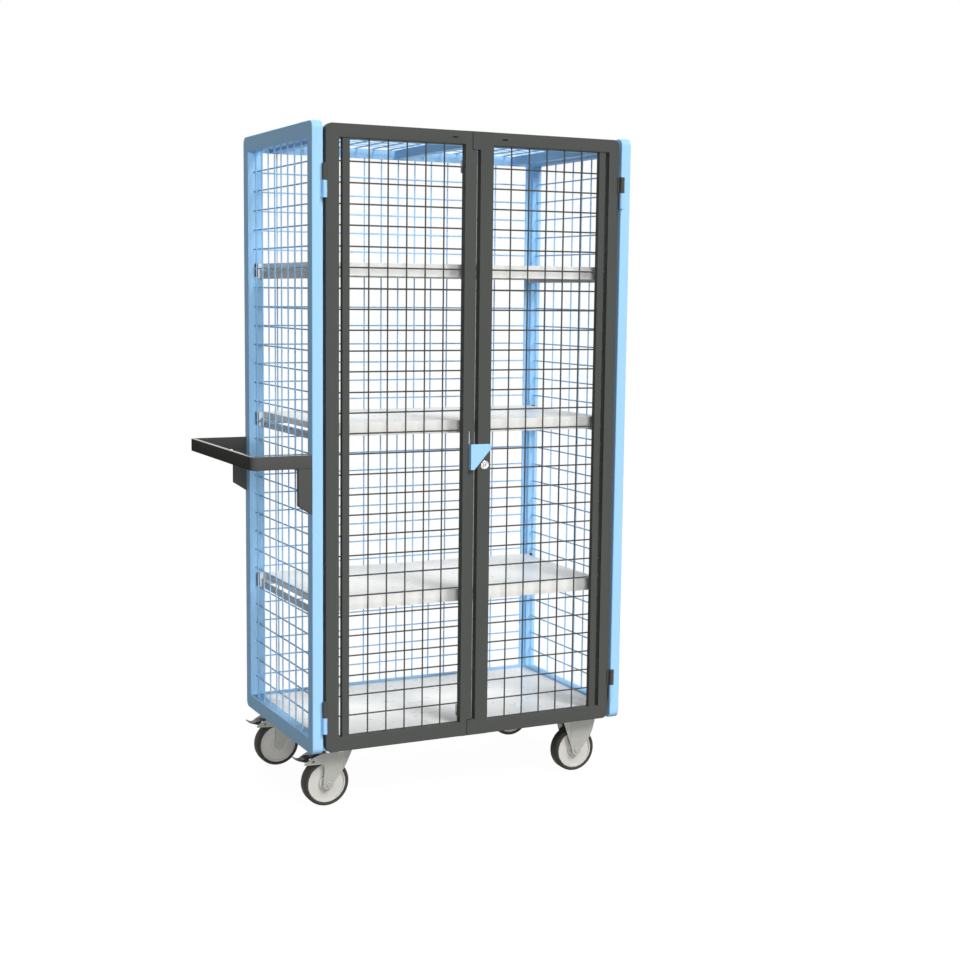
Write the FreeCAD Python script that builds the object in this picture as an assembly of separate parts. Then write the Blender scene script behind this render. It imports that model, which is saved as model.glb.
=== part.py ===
import FreeCAD, Part
import os

# Wire cage cart, in millimetres. X runs along the cart from the handle end, Y from the doors to the back,
# Z up from the floor. Dimensions below are taken from the outer corner of the left end frame at the floor;
# the finished parts are shifted so that the origin is under the middle of the whole cart.

# Cage
cage_width = 913.0
cage_depth = 546.0
frame_bottom = 158.5
frame_top = 1759.0
post_width = 29.0
front_stile = 33.0
rear_stile = 40.0
end_top_rail = 41.0
end_bottom_rail = 40.0
corner_radius = 19.0
edge_radius = 3.0
end_wall = 3.0
tube_wall = 2.0

# Wire mesh
wire = 4.0
pitch = 52.27
first_wire_z = 252.1
level_wires = 28
mesh_depth = 0.7854 * wire  # a plate this thick holds as much steel as the round wires
weld_border = 2.0
end_pitch = 51.8
left_end_first_wire = 58.6
end_upright_wires = 9
back_upright_wires = 15

# Back, roof and floor
back_depth = 28.0
back_sheet = 3.0
back_stile = 16.5
back_top = 1744.0
back_top_rail = 27.0
back_bottom_rail = 41.5
back_mesh_edge = 8.0
roof_bar_height = 25.0
roof_bar_width = 28.0
roof_bar_centre = 81.0
front_rail_y = 27.0
rail_depth = 25.0
floor_bottom = 160.0
deck_thickness = 12.0
deck_top = 193.0
channel_half = 50.0

# Shelves and their side rails
shelf_tops = {"lower": 551.5, "middle": 1006.5, "upper": 1416.0}
shelf_sheet = 2.0
shelf_side = 40.0
shelf_front = 65.0
shelf_back = 500.0
shelf_lip = 34.0
shelf_flange = 17.0
side_rail_x = 31.0
side_rail_drop = 22.0
side_rail_height = 20.0
side_rail_foot = 14.0
pad_width = 16.0
pad_length = 18.0
hook_plate_x = (25.0, 39.0)
hook_plate_height = 41.0
hook_plate_thickness = 5.0
stop_width = 8.4
stop_height = 36.0
hook_clear = 3.0
hook_reach = 6.0
hook_width = 4.0
slot_pitch = 45.5
slot_height = 14.0
slot_inset = 4.0
slot_clear = 0.5
lowest_slot = 292.0
slot_count = 31

# Doors
door_bottom = 162.0
door_top = 1754.0
door_depth = 21.0
door_side_gap = 7.0
door_middle_gap = 10.0
left_hinge_stile_width = 35.4
right_hinge_stile_width = 31.5
left_closing_stile = 33.5
right_closing_stile = 37.0
door_top_rail = 34.5
door_bottom_rail = 37.5
inner_bar_gap = 9.5
inner_bar_width = 20.0
inner_bar_depth = 14.0
inner_bar_front = 2.0
door_corner = 18.0
door_edge = 2.0
door_wires = 5
left_door_first_wire = 154.4
right_door_first_wire = 554.4
left_door_pitch = 51.8
right_door_pitch = 52.5
head_reach = 22.5
head_height = 46.0
foot_height = 42.0
head_clear = 2.0
rail_slot_length = 16.0
rail_slot_height = 3.0
rail_slot_drop = 19.0
left_rail_slot_x = 388.0
right_rail_slot_x = 531.0

# Hinges
hinge_x = 30.3
hinge_y = -7.0
knuckle_radius = 6.5
knuckle_length = 42.0
knuckle_gap = 0.4
pin_radius = 3.5
running = 0.05
post_leaf = 7.0
door_leaf = 11.0
leaf_thickness = 3.0
hinge_splits = (258.0, 1613.5)

# Latch
latch_x = 436.6
latch_sheet = 2.0
latch_front = -12.0
latch_low = 880.4
latch_high = 948.0
latch_corner = 506.0
latch_foot = 10.0
latch_round = 9.0
latch_lug = 5.0
latch_travel = 33.0
latch_slot = 5.0
latch_bar_x = 424.0
latch_bar_width = 10.0
latch_bar_y = 4.0
latch_bar_thickness = 4.0
hook_bottoms = (208.0, 1650.0)
hook_height = 32.0
hook_end_y = 44.0
stud_y = 36.0
stud_radius = 3.0
stud_rise = 17.0
keeper_x = 444.0
keeper_thickness = 3.0
keeper_clear = 4.0

# Lock
lock_x = 481.3
lock_z = 891.5
lock_face = 12.6
lock_barrel = 9.0
lock_proud = 5.0
lock_length = 16.0
plug_radius = 5.0
cam_length = 15.5
cam_width = 9.0
cam_thickness = 2.0

# Push handle
handle_reach = 158.5
handle_bottom = 900.0
handle_top = 934.0
handle_thickness = 12.0
handle_bend = 16.0
leg_width = 37.0
leg_outer_end = 806.0
leg_inner_end = 782.5

# Casters
wheel_radius = 62.5
tyre_width = 40.0
rim_radius = 52.5
hub_width = 30.0
boss_radius = 21.0
boss_width = 35.0
bush_radius = 7.5
bush_length = 49.0
axle_radius = 5.0
axle_head = 7.0
axle_head_thickness = 3.0
caster_y = 78.0
swivel_x = 98.0
trail = 36.3
fixed_plate_x = cage_width - swivel_x
fixed_axle_x = 808.0
plate_length = 100.0
plate_width = 85.0
plate_thickness = 4.0
king_pin_radius = 6.0
king_pin_head = 11.0
king_pin_head_height = 6.0
crown_top = 146.0
crown_thickness = 8.0
crown_left = 46.0
crown_right = 118.0
fork_right = 130.5
bearing_radius = 30.0
leg_inside = 25.0
fork_sheet = 3.0
fork_eye = 14.0
fork_fold = 6.0
swivel_flat = (-60.0, 102.0)
fixed_flat = (789.0, 851.0)
fixed_fork_right = 872.0
play = 0.3
bolt_spread_x = 40.0
bolt_spread_y = 35.0
bolt_radius = 4.0
bolt_head = 6.5
bolt_head_thickness = 5.5
bolt_length = 8.0
pedal_pivot = (20.0, 127.0)
pedal_pin = 3.0
pedal_half_width = 12.0
pedal_boss = 6.0

# Bolts between the back frame and the end frames
frame_bolt_levels = (330.0, 960.0, 1590.0)
frame_bolt_reach = 8.0
frame_bolt_y = 536.0
frame_bolt_head = 5.0

# Middle of the whole cart
middle_x = (cage_width - handle_reach) / 2
front_reach = hinge_y - knuckle_radius
middle_y = (cage_depth + front_reach) / 2

right_inside = cage_width - post_width
fork_reach = leg_inside + fork_sheet
door_left = post_width + door_side_gap
door_meeting = (cage_width - door_middle_gap) / 2
left_opening = (door_left + left_hinge_stile_width, door_meeting - left_closing_stile)
right_opening_end = cage_width - door_left - right_hinge_stile_width
right_opening = (cage_width - door_meeting + right_closing_stile, right_opening_end)
right_end_first_wire = left_end_first_wire + end_pitch / 2
door_opening_z = (door_bottom + door_bottom_rail, door_top - door_top_rail)
level_wire_heights = [first_wire_z + pitch * i for i in range(level_wires)]
plate_top = floor_bottom
plate_bottom = floor_bottom - plate_thickness
far_y = cage_depth - caster_y


def box(x0, x1, y0, y1, z0, z1):
    """Solid block between two corners."""
    return Part.makeBox(x1 - x0, y1 - y0, z1 - z0, FreeCAD.Vector(x0, y0, z0))


def rod(centre, radius, length, axis):
    """Round bar from a centre point along an axis."""
    return Part.makeCylinder(radius, length, FreeCAD.Vector(*centre), FreeCAD.Vector(*axis))


def plate_xz(points, y0, y1):
    """Flat plate with an outline in X and Z, between two Y planes."""
    outline = [FreeCAD.Vector(x, y0, z) for x, z in points]
    outline.append(outline[0])
    return Part.Face(Part.makePolygon(outline)).extrude(FreeCAD.Vector(0, y1 - y0, 0))


def tube(x0, x1, y0, y1, z0, z1, along, wall=tube_wall):
    """Rectangular tube, open at both ends along X, Y or Z."""
    inset = [wall, wall, wall]
    inset["XYZ".index(along)] = 0.0
    core = box(x0 + inset[0], x1 - inset[0], y0 + inset[1], y1 - inset[1], z0 + inset[2], z1 - inset[2])
    return box(x0, x1, y0, y1, z0, z1).cut(core)


def soften(solid, radius, wanted):
    """Round the edges that the test picks."""
    return solid.makeFillet(radius, [edge for edge in solid.Edges if wanted(edge)])


def runs_along(edge, axis):
    """True for an edge whose box is long only along the axis."""
    size = (edge.BoundBox.XLength, edge.BoundBox.YLength, edge.BoundBox.ZLength)
    return all((size[i] > 0.01) == (i == axis) for i in range(3))


def mirrored(solids):
    """The same solids on the other side of the cage's middle plane."""
    return [solid.mirror(FreeCAD.Vector(cage_width / 2, 0, 0), FreeCAD.Vector(1, 0, 0)) for solid in solids]


def gaps(start, end, wires):
    """Open stretches between wires, with a thin weld border at both ends."""
    starts = [start + weld_border] + [place + wire / 2 for place in wires]
    ends = [place - wire / 2 for place in wires] + [end - weld_border]
    return list(zip(starts, ends))


def loop(corner, u, v, span_u, span_v):
    """Closed rectangle with its sides along u and v."""
    low, high = span_u[0], span_u[1]
    points = [(low, span_v[0]), (high, span_v[0]), (high, span_v[1]), (low, span_v[1]), (low, span_v[0])]
    return Part.makePolygon([corner + u * a + v * b for a, b in points])


def mesh(corner, u, v, across, span_u, span_v, wires_u, wires_v):
    """Welded wire panel as one plate with a hole in each gap."""
    rings = [loop(corner, u, v, span_u, span_v)]
    for gap_u in gaps(span_u[0], span_u[1], wires_u):
        rings += [loop(corner, u, v, gap_u, gap_v) for gap_v in gaps(span_v[0], span_v[1], wires_v)]
    return Part.Face(rings).extrude(across * mesh_depth)


def end_frame():
    """Left end frame: a rounded picture frame of two stiles and two rails, each hollow."""
    blank = box(0, post_width, 0, cage_depth, frame_bottom, frame_top)
    blank = soften(blank, corner_radius, lambda edge: runs_along(edge, 0))
    blank = soften(blank, edge_radius, lambda edge: edge.BoundBox.XLength < 0.01)
    low, high = frame_bottom + end_bottom_rail, frame_top - end_top_rail
    front, rear = front_stile, cage_depth - rear_stile
    reach = (-1, post_width + 1)
    hollow = (end_wall, post_width - end_wall)
    front_piece = blank.common(box(*reach, -1, front, frame_bottom - 1, frame_top + 1))
    front_piece = front_piece.cut(box(*hollow, end_wall, front - end_wall, low, high))
    rear_piece = blank.common(box(*reach, rear, cage_depth + 1, frame_bottom - 1, frame_top + 1))
    rear_piece = rear_piece.cut(box(*hollow, rear + end_wall, cage_depth - end_wall, low, high))
    for slot in slot_levels():
        slot_x = (post_width - end_wall - 1, post_width + 1)
        span = (slot_inset - slot_clear, slot_inset + hook_width + slot_clear)
        front_piece = front_piece.cut(box(*slot_x, front - span[1], front - span[0], *slot))
        rear_piece = rear_piece.cut(box(*slot_x, rear + span[0], rear + span[1], *slot))
    for level in frame_bolt_levels:
        centre = (post_width - frame_bolt_reach, frame_bolt_y, level)
        rear_piece = rear_piece.cut(rod(centre, bolt_radius + running, frame_bolt_reach + 1, (1, 0, 0)))
    bottom_piece = blank.common(box(*reach, front, rear, frame_bottom - 1, low))
    bottom_piece = bottom_piece.cut(box(*hollow, front, rear, frame_bottom + end_wall, low - end_wall))
    top_piece = blank.common(box(*reach, front, rear, high, frame_top + 1))
    top_piece = top_piece.cut(box(*hollow, front, rear, high + end_wall, frame_top - end_wall))
    return [front_piece, rear_piece, bottom_piece, top_piece]


def slot_levels():
    """Heights of the shelf slots, from bottom to top of each slot."""
    levels = [lowest_slot + slot_pitch * i for i in range(slot_count)]
    return [(level - slot_height / 2, level + slot_height / 2) for level in levels]


def end_mesh(first_wire):
    """Wire panel inside the left end frame, with its first upright at a given depth."""
    corner = FreeCAD.Vector((post_width - mesh_depth) / 2, 0, 0)
    uprights = [first_wire + end_pitch * i for i in range(end_upright_wires)]
    span_y = (front_stile, cage_depth - rear_stile)
    span_z = (frame_bottom + end_bottom_rail, frame_top - end_top_rail)
    along_y, along_z, across = FreeCAD.Vector(0, 1, 0), FreeCAD.Vector(0, 0, 1), FreeCAD.Vector(1, 0, 0)
    return mesh(corner, along_y, along_z, across, span_y, span_z, uprights, level_wire_heights)


def back_frame():
    """Back frame of angle bars: two stiles, a top rail and a bottom rail."""
    y = (cage_depth - back_depth, cage_depth)
    face = (y[0], y[0] + back_sheet)
    stile_x = (post_width, post_width + back_stile)
    left = box(*stile_x, *face, frame_bottom, back_top)
    left = left.fuse(box(post_width, post_width + back_sheet, *y, frame_bottom, back_top)).removeSplitter()
    for level in frame_bolt_levels:
        centre = (post_width - 1, frame_bolt_y, level)
        left = left.cut(rod(centre, bolt_radius + running, back_sheet + 2, (1, 0, 0)))
    x = (post_width + back_stile, right_inside - back_stile)
    top = box(*x, *face, back_top - back_top_rail, back_top)
    top = top.fuse(box(*x, *y, back_top - back_sheet, back_top)).removeSplitter()
    bottom = box(*x, *face, frame_bottom, frame_bottom + back_bottom_rail)
    bottom = bottom.fuse(box(*x, *y, frame_bottom, frame_bottom + back_sheet)).removeSplitter()
    return [left] + mirrored([left]) + [top, bottom]


def back_mesh():
    """Wire panel welded to the rear of the back frame's faces."""
    corner = FreeCAD.Vector(0, cage_depth - back_depth + back_sheet, 0)
    inner_x = post_width + back_stile - back_mesh_edge
    span_x = (inner_x, cage_width - inner_x)
    low, high = frame_bottom + back_bottom_rail, back_top - back_top_rail
    span_z = (low - back_mesh_edge, high + back_mesh_edge)
    first = cage_width / 2 - pitch * (back_upright_wires - 1) / 2
    uprights = [first + pitch * i for i in range(back_upright_wires)]
    along_x, along_z, across = FreeCAD.Vector(1, 0, 0), FreeCAD.Vector(0, 0, 1), FreeCAD.Vector(0, 1, 0)
    return mesh(corner, along_x, along_z, across, span_x, span_z, uprights, level_wire_heights)


def roof_frame():
    """Front rail under the roof and three cross bars from it to the back rail."""
    z = (back_top - roof_bar_height, back_top)
    front_rail = tube(post_width, right_inside, front_rail_y, front_rail_y + rail_depth, *z, "X")
    y = (front_rail_y + rail_depth, cage_depth - back_depth)
    pieces = [front_rail]
    for centre in (roof_bar_centre, cage_width / 2, cage_width - roof_bar_centre):
        pieces.append(tube(centre - roof_bar_width / 2, centre + roof_bar_width / 2, *y, *z, "Y"))
    return pieces


def roof_mesh():
    """Wire panel that lies on the roof bars."""
    span_x = (post_width, right_inside)
    span_y = (front_rail_y, cage_depth)
    across_x = [cage_width / 2 + pitch * (i - 7.5) for i in range(16)]
    across_y = [front_rail_y + pitch * (i + 0.9) for i in range(9)]
    corner = FreeCAD.Vector(0, 0, back_top)
    along_x, along_y, up = FreeCAD.Vector(1, 0, 0), FreeCAD.Vector(0, 1, 0), FreeCAD.Vector(0, 0, 1)
    return mesh(corner, along_x, along_y, up, span_x, span_y, across_x, across_y)


def caster_centres():
    """X and Y of each caster's top plate: two swivel casters, then two fixed ones."""
    return [(x, y) for x in (swivel_x, fixed_plate_x) for y in (caster_y, far_y)]


def bolt_places():
    """X and Y of every caster bolt."""
    spread = [(sx * bolt_spread_x, sy * bolt_spread_y) for sx in (-1, 1) for sy in (-1, 1)]
    return [(x + dx, y + dy) for x, y in caster_centres() for dx, dy in spread]


def floor_frame():
    """Front and back rails with two wide channels that carry the casters."""
    z = (floor_bottom, deck_top - deck_thickness)
    front = (front_rail_y, front_rail_y + rail_depth)
    rear = (cage_depth - back_depth - rail_depth, cage_depth - back_depth)
    pieces = [tube(post_width, right_inside, *front, *z, "X"), tube(post_width, right_inside, *rear, *z, "X")]
    for x in (swivel_x, fixed_plate_x):
        pieces.append(tube(x - channel_half, x + channel_half, front[1], rear[0], *z, "Y"))
    holes = [rod((x, y, floor_bottom - 1), bolt_radius + running, tube_wall + 2, (0, 0, 1))
             for x, y in bolt_places()]
    return [piece.cut(holes) for piece in pieces]


def deck_board():
    """Flat deck between the end frames, with a notch round the lower latch keeper."""
    y = (front_rail_y, cage_depth - back_depth)
    z = (deck_top - deck_thickness, deck_top)
    notch_x = (keeper_x - keeper_clear, keeper_x + keeper_thickness + keeper_clear)
    notch = box(*notch_x, front_rail_y - 1, stud_y + 2 * stud_radius + keeper_clear, *z)
    return box(post_width, right_inside, *y, *z).cut(notch)


def shelf(top):
    """Folded sheet shelf: a lip at the front and at the back, and side flanges."""
    right = cage_width - shelf_side
    sheet = box(shelf_side, right, shelf_front, shelf_back, top - shelf_sheet, top)
    lips = [box(shelf_side, right, y, y + shelf_sheet, top - shelf_lip, top)
            for y in (shelf_front, shelf_back - shelf_sheet)]
    flanges = [box(x, x + shelf_sheet, shelf_front, shelf_back, top - shelf_flange, top)
               for x in (shelf_side, right - shelf_sheet)]
    return sheet.fuse(lips + flanges).removeSplitter()


def shelf_side_rail(top):
    """Rail under the left side of a shelf: pads, an end plate, a hook and a black stop at each post."""
    x = (side_rail_x, side_rail_x + shelf_sheet)
    high = top - side_rail_drop
    low = high - side_rail_height
    front, rear = front_stile + hook_clear, cage_depth - rear_stile - hook_clear
    tips = (front_stile - slot_inset - hook_width, cage_depth - rear_stile + slot_inset + hook_width)
    foot_y = (shelf_front + pad_length, shelf_back - pad_length)
    pieces = [box(x[0], x[0] + side_rail_foot, *foot_y, low, low + shelf_sheet)]
    stops = []
    half = slot_height / 2 - slot_clear
    middle = (low + high) / 2
    for end, inward, pad_start, tip in ((front, 1, shelf_front + shelf_sheet, tips[0]),
                                        (rear, -1, shelf_back - shelf_sheet, tips[1])):
        plate_y = sorted((end, end + inward * hook_plate_thickness))
        pad_y = sorted((pad_start, pad_start + inward * pad_length))
        hook_y = sorted((tip, tip + inward * hook_width))
        pieces.append(box(*hook_plate_x, *plate_y, top - hook_plate_height, top - slot_clear))
        pieces.append(box(x[0], x[0] + pad_width, *pad_y, high - 1, top - shelf_flange))
        pieces.append(box(x[0] - hook_clear - hook_reach, x[1], *hook_y, middle - half, middle + half))
        stop_z = (top - slot_clear - stop_height, top - slot_clear)
        stops.append(box(hook_plate_x[0] - stop_width, hook_plate_x[0], *plate_y, *stop_z))
    rail = box(*x, *tips, low, high)
    return [rail.fuse(pieces).removeSplitter()] + stops


def shelf_brackets(top):
    """Side rails for both sides of a shelf."""
    left = shelf_side_rail(top)
    return left + mirrored(left)


def is_bend(edge):
    """True for the upright edges at the handle's far end."""
    return runs_along(edge, 2) and edge.BoundBox.XMax < -1


def push_handle():
    """Flat bar handle: a bar bent round to two arms, each with a leg down its post."""
    z = (handle_bottom, handle_top)
    near, far = handle_thickness, cage_depth - handle_thickness
    outer_block = box(-handle_reach, 0, 0, cage_depth, *z)
    outer_block = soften(outer_block, handle_bend, is_bend)
    inner_block = box(handle_thickness - handle_reach, 1, near, far, *z)
    inner_block = soften(inner_block, handle_bend - handle_thickness, is_bend)
    bow = outer_block.cut(inner_block)
    bend_x, bend_y = handle_bend - handle_reach, cage_depth - handle_bend
    bars = [bow.common(box(-handle_reach, bend_x, handle_bend, bend_y, *z))]
    for y in ((0, handle_bend), (bend_y, cage_depth)):
        bars += [bow.common(box(*x, *y, *z)) for x in ((-handle_reach, bend_x), (bend_x, 0))]
    outline = [(-leg_width, handle_bottom), (0, handle_bottom)]
    outline += [(0, leg_inner_end), (-leg_width, leg_outer_end)]
    legs = [plate_xz(outline, y, y + handle_thickness) for y in (0, cage_depth - handle_thickness)]
    return bars + legs


def stile_core(x0, x1):
    """Hollow of a door stile between the two rails."""
    y = (tube_wall, door_depth - tube_wall)
    return box(x0 + tube_wall, x1 - tube_wall, *y, *door_opening_z)


def hinge_side_stile(width):
    """Hinge stile on the left, with rounded outer corners and soft front edges."""
    x0, x1 = door_left, door_left + width
    stile = box(x0, x1, 0, door_depth, door_bottom, door_top)
    stile = soften(stile, door_corner, lambda edge: runs_along(edge, 1) and edge.BoundBox.XMax < x1 - 1)
    stile = soften(stile, door_edge, lambda edge: edge.BoundBox.YMax < 0.01 and edge.BoundBox.XMin < x1 - 1)
    return stile.cut(stile_core(x0, x1))


def closing_stile(x0, x1, meeting_x):
    """Closing stile with a soft edge where the doors meet, between the head and the foot."""
    stile = box(x0, x1, 0, door_depth, door_bottom, door_top)
    low, high = door_bottom + foot_height, door_top - head_height
    middle = box(x0, x1, 0, door_depth, low, high)
    middle = soften(middle, door_edge, lambda edge: runs_along(edge, 2) and edge.BoundBox.YMax < 0.01
                    and abs(edge.BoundBox.XMin - meeting_x) < 0.1)
    stile = stile.cut(box(x0, x1, 0, door_depth, low, high)).fuse(middle).removeSplitter()
    return stile.cut(stile_core(x0, x1))


def door_rail(x, z):
    """Hollow rail between two stiles, with soft front edges."""
    rail = tube(*x, 0, door_depth, *z, "X")
    return soften(rail, door_edge, lambda edge: runs_along(edge, 0) and edge.BoundBox.YMax < 0.01)


def door_rails(x, slot_x):
    """Top rail with its short slot, and bottom rail."""
    top = door_rail(x, (door_opening_z[1], door_top))
    slot_z = door_top - rail_slot_drop
    half = rail_slot_length / 2
    top = top.cut(box(slot_x - half, slot_x + half, -1, tube_wall + 1, slot_z, slot_z + rail_slot_height))
    return [top, door_rail(x, (door_bottom, door_opening_z[0]))]


def inner_bar(x):
    """Upright bar beside the hinge stile that closes the mesh."""
    y = (inner_bar_front, inner_bar_front + inner_bar_depth)
    bar = box(x, x + inner_bar_width, *y, *door_opening_z)
    return soften(bar, door_edge, lambda edge: runs_along(edge, 2) and edge.BoundBox.YMax < y[0] + 0.01)


def left_door_frame():
    """Left door: hinge stile, slotted closing stile with a narrow head and foot, rails and inner bar."""
    closing = closing_stile(left_opening[1], door_meeting, door_meeting)
    slot_x = latch_x + latch_sheet / 2
    slot_z = (latch_low - 1, latch_high + latch_travel + 1)
    closing = closing.cut(box(slot_x - latch_slot / 2, slot_x + latch_slot / 2, -1, tube_wall + 1, *slot_z))
    for bottom in hook_bottoms:
        window_z = (bottom - 1, bottom + hook_height + latch_travel + 1)
        window_x = (latch_bar_x - 1, latch_bar_x + latch_bar_thickness + 1)
        closing = closing.cut(box(*window_x, door_depth - tube_wall - 1, door_depth + 1, *window_z))
    narrow = cage_width - door_meeting - head_reach - head_clear
    low, high = door_bottom + foot_height + head_clear, door_top - head_height - head_clear
    y = (-1, door_depth + 1)
    zones = [box(0, cage_width, *y, low, high)]
    zones += [box(0, narrow, *y, *z) for z in ((0, low), (high, frame_top))]
    pieces = [closing.common(zone) for zone in zones]
    bar = inner_bar(left_opening[0] + inner_bar_gap)
    stiles = [hinge_side_stile(left_hinge_stile_width)] + pieces
    return stiles + door_rails(left_opening, left_rail_slot_x) + [bar]


def right_door_frame():
    """Right door: hinge stile, rails, bar, and a closing stile whose head and foot fill the middle gap."""
    meeting = cage_width - door_meeting
    closing = closing_stile(meeting, right_opening[0], meeting)
    lock_hole = rod((lock_x, -1, lock_z), lock_barrel + running, tube_wall + 2, (0, 1, 0))
    closing = closing.cut(lock_hole)
    head_x = (meeting - head_reach, meeting)
    head = box(*head_x, 0, door_depth, door_top - head_height, door_top)
    foot = box(*head_x, 0, door_depth, door_bottom, door_bottom + foot_height)
    bar = inner_bar(right_opening[1] - inner_bar_gap - inner_bar_width)
    stiles = mirrored([hinge_side_stile(right_hinge_stile_width)]) + [closing, head, foot]
    return stiles + door_rails(right_opening, right_rail_slot_x) + [bar]


def door_mesh(opening, bar_gap, first_wire, wire_pitch):
    """Wire panel of a door: the main field and the narrow strip beside the hinge stile."""
    corner = FreeCAD.Vector(0, (door_depth - mesh_depth) / 2, 0)
    along_x, along_z, across = FreeCAD.Vector(1, 0, 0), FreeCAD.Vector(0, 0, 1), FreeCAD.Vector(0, 1, 0)
    uprights = [first_wire + wire_pitch * i for i in range(door_wires)]
    main = mesh(corner, along_x, along_z, across, opening, door_opening_z, uprights, level_wire_heights)
    strip = mesh(corner, along_x, along_z, across, bar_gap, door_opening_z, [], level_wire_heights)
    return [main, strip]


def left_door_mesh():
    """Wire panel of the left door."""
    bar = left_opening[0] + inner_bar_gap
    field = (bar + inner_bar_width, left_opening[1])
    return door_mesh(field, (left_opening[0], bar), left_door_first_wire, left_door_pitch)


def right_door_mesh():
    """Wire panel of the right door."""
    bar = right_opening[1] - inner_bar_gap
    field = (right_opening[0], bar - inner_bar_width)
    return door_mesh(field, (bar, right_opening[1]), right_door_first_wire, right_door_pitch)


def knuckle(bottom, leaf_x, bore):
    """Hinge knuckle with a short leaf, hidden behind it, that is welded to the post or to the door."""
    barrel = rod((hinge_x, hinge_y, bottom), knuckle_radius, knuckle_length, (0, 0, 1))
    leaf = box(*leaf_x, -leaf_thickness, 0, bottom, bottom + knuckle_length)
    hole = rod((hinge_x, hinge_y, bottom - 1), bore, knuckle_length + 2, (0, 0, 1))
    return barrel.fuse(leaf).cut(hole).removeSplitter()


def frame_knuckles():
    """Lower halves of the hinges, on the posts."""
    leaf_x = (hinge_x - post_leaf, hinge_x)
    left = [knuckle(split - knuckle_length - knuckle_gap, leaf_x, pin_radius) for split in hinge_splits]
    return left + mirrored(left)


def door_knuckles():
    """Upper halves of the left door's hinges."""
    leaf_x = (hinge_x, hinge_x + door_leaf)
    return [knuckle(split, leaf_x, pin_radius + running) for split in hinge_splits]


def hinge_pins():
    """Pins that stand in the frame knuckles and carry the doors."""
    left = [rod((hinge_x, hinge_y, split - knuckle_length), pin_radius, 2 * knuckle_length - 2, (0, 0, 1))
            for split in hinge_splits]
    return left + mirrored(left)


def latch_plate():
    """Bent latch plate: a flange through the door slot and a slanted face with one rounded corner."""
    flange_y = (latch_front + latch_sheet, latch_bar_y)
    flange = box(latch_x, latch_x + latch_sheet, *flange_y, latch_low, latch_high)
    outline = [(latch_x, latch_low), (latch_x + latch_foot, latch_low)]
    outline += [(latch_corner, latch_high), (latch_x, latch_high)]
    face = plate_xz(outline, latch_front, latch_front + latch_sheet)
    face = soften(face, latch_round,
                  lambda edge: runs_along(edge, 1) and edge.BoundBox.XMin > latch_corner - 1)
    return [face, flange]


def latch_bar():
    """Flat bar inside the left closing stile, with a lug to the latch plate and two hooks."""
    y = (latch_bar_y, latch_bar_y + latch_bar_thickness)
    bar = box(latch_bar_x, latch_bar_x + latch_bar_width, *y, hook_bottoms[0], hook_bottoms[1] + hook_height)
    lug_z = (latch_low, latch_high + latch_travel)
    bar = bar.fuse(box(latch_bar_x, latch_x + latch_lug, *y, *lug_z)).removeSplitter()
    hook_side = latch_bar_x + latch_bar_thickness
    mouth = stud_radius + slot_clear
    hooks = []
    for bottom in hook_bottoms:
        hook = box(latch_bar_x, hook_side, y[1], hook_end_y, bottom, bottom + hook_height)
        mouth_z = (bottom - 1, bottom + stud_rise + mouth)
        hooks.append(hook.cut(box(latch_bar_x - 1, hook_side + 1, stud_y - mouth, stud_y + mouth, *mouth_z)))
    return [bar] + hooks


def latch_keepers():
    """Brackets on the front floor rail and under the front roof rail, each with a stud for a latch hook."""
    keepers = []
    anchors = ((deck_top - deck_thickness, hook_bottoms[0] + stud_rise + 2 * stud_radius),
               (hook_bottoms[1] + stud_rise - 2 * stud_radius, back_top - roof_bar_height))
    for (low, high), bottom in zip(anchors, hook_bottoms):
        y = (stud_y - 2 * stud_radius, stud_y + 2 * stud_radius)
        bracket = box(keeper_x, keeper_x + keeper_thickness, *y, low, high)
        start = latch_bar_x - 1
        stud = rod((start, stud_y, bottom + stud_rise), stud_radius, keeper_x - start + 1, (1, 0, 0))
        keepers.append(bracket.fuse(stud).removeSplitter())
    return keepers


def lock_body():
    """Round lock housing in the right closing stile."""
    face = rod((lock_x, -lock_proud, lock_z), lock_face, lock_proud, (0, 1, 0))
    face = soften(face, 1.5, lambda edge: edge.BoundBox.YMax < -lock_proud + 0.01)
    barrel = rod((lock_x, -1, lock_z), lock_barrel, lock_length + 1, (0, 1, 0))
    bore_length = lock_length + lock_proud + 2
    bore = rod((lock_x, -lock_proud - 1, lock_z), plug_radius + running, bore_length, (0, 1, 0))
    return face.fuse(barrel).cut(bore).removeSplitter()


def lock_plug():
    """Turning plug with a key slot."""
    length = lock_length + lock_proud + 2 * slot_clear
    plug = rod((lock_x, -lock_proud - slot_clear, lock_z), plug_radius, length, (0, 1, 0))
    key_slot = box(lock_x - 0.8, lock_x + 0.8, -lock_proud - 1, -lock_proud + 6, lock_z - 3.5, lock_z + 3.5)
    return plug.cut(key_slot)


def lock_cam():
    """Cam plate on the end of the plug."""
    y = (lock_length + slot_clear, lock_length + slot_clear + cam_thickness)
    half = cam_width / 2
    tongue = box(lock_x - half, lock_x + half, *y, lock_z - cam_length, lock_z)
    return tongue.fuse(rod((lock_x, y[0], lock_z), half, cam_thickness, (0, 1, 0))).removeSplitter()


def swivel_plate(y):
    """Caster top plate with its king pin."""
    head_top = crown_top - crown_thickness - play
    pin = rod((swivel_x, y, head_top - 1), king_pin_radius, plate_bottom - head_top + 2, (0, 0, 1))
    head = rod((swivel_x, y, head_top - king_pin_head_height), king_pin_head, king_pin_head_height, (0, 0, 1))
    return caster_plate(swivel_x, y).fuse([pin, head]).removeSplitter()


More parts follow.
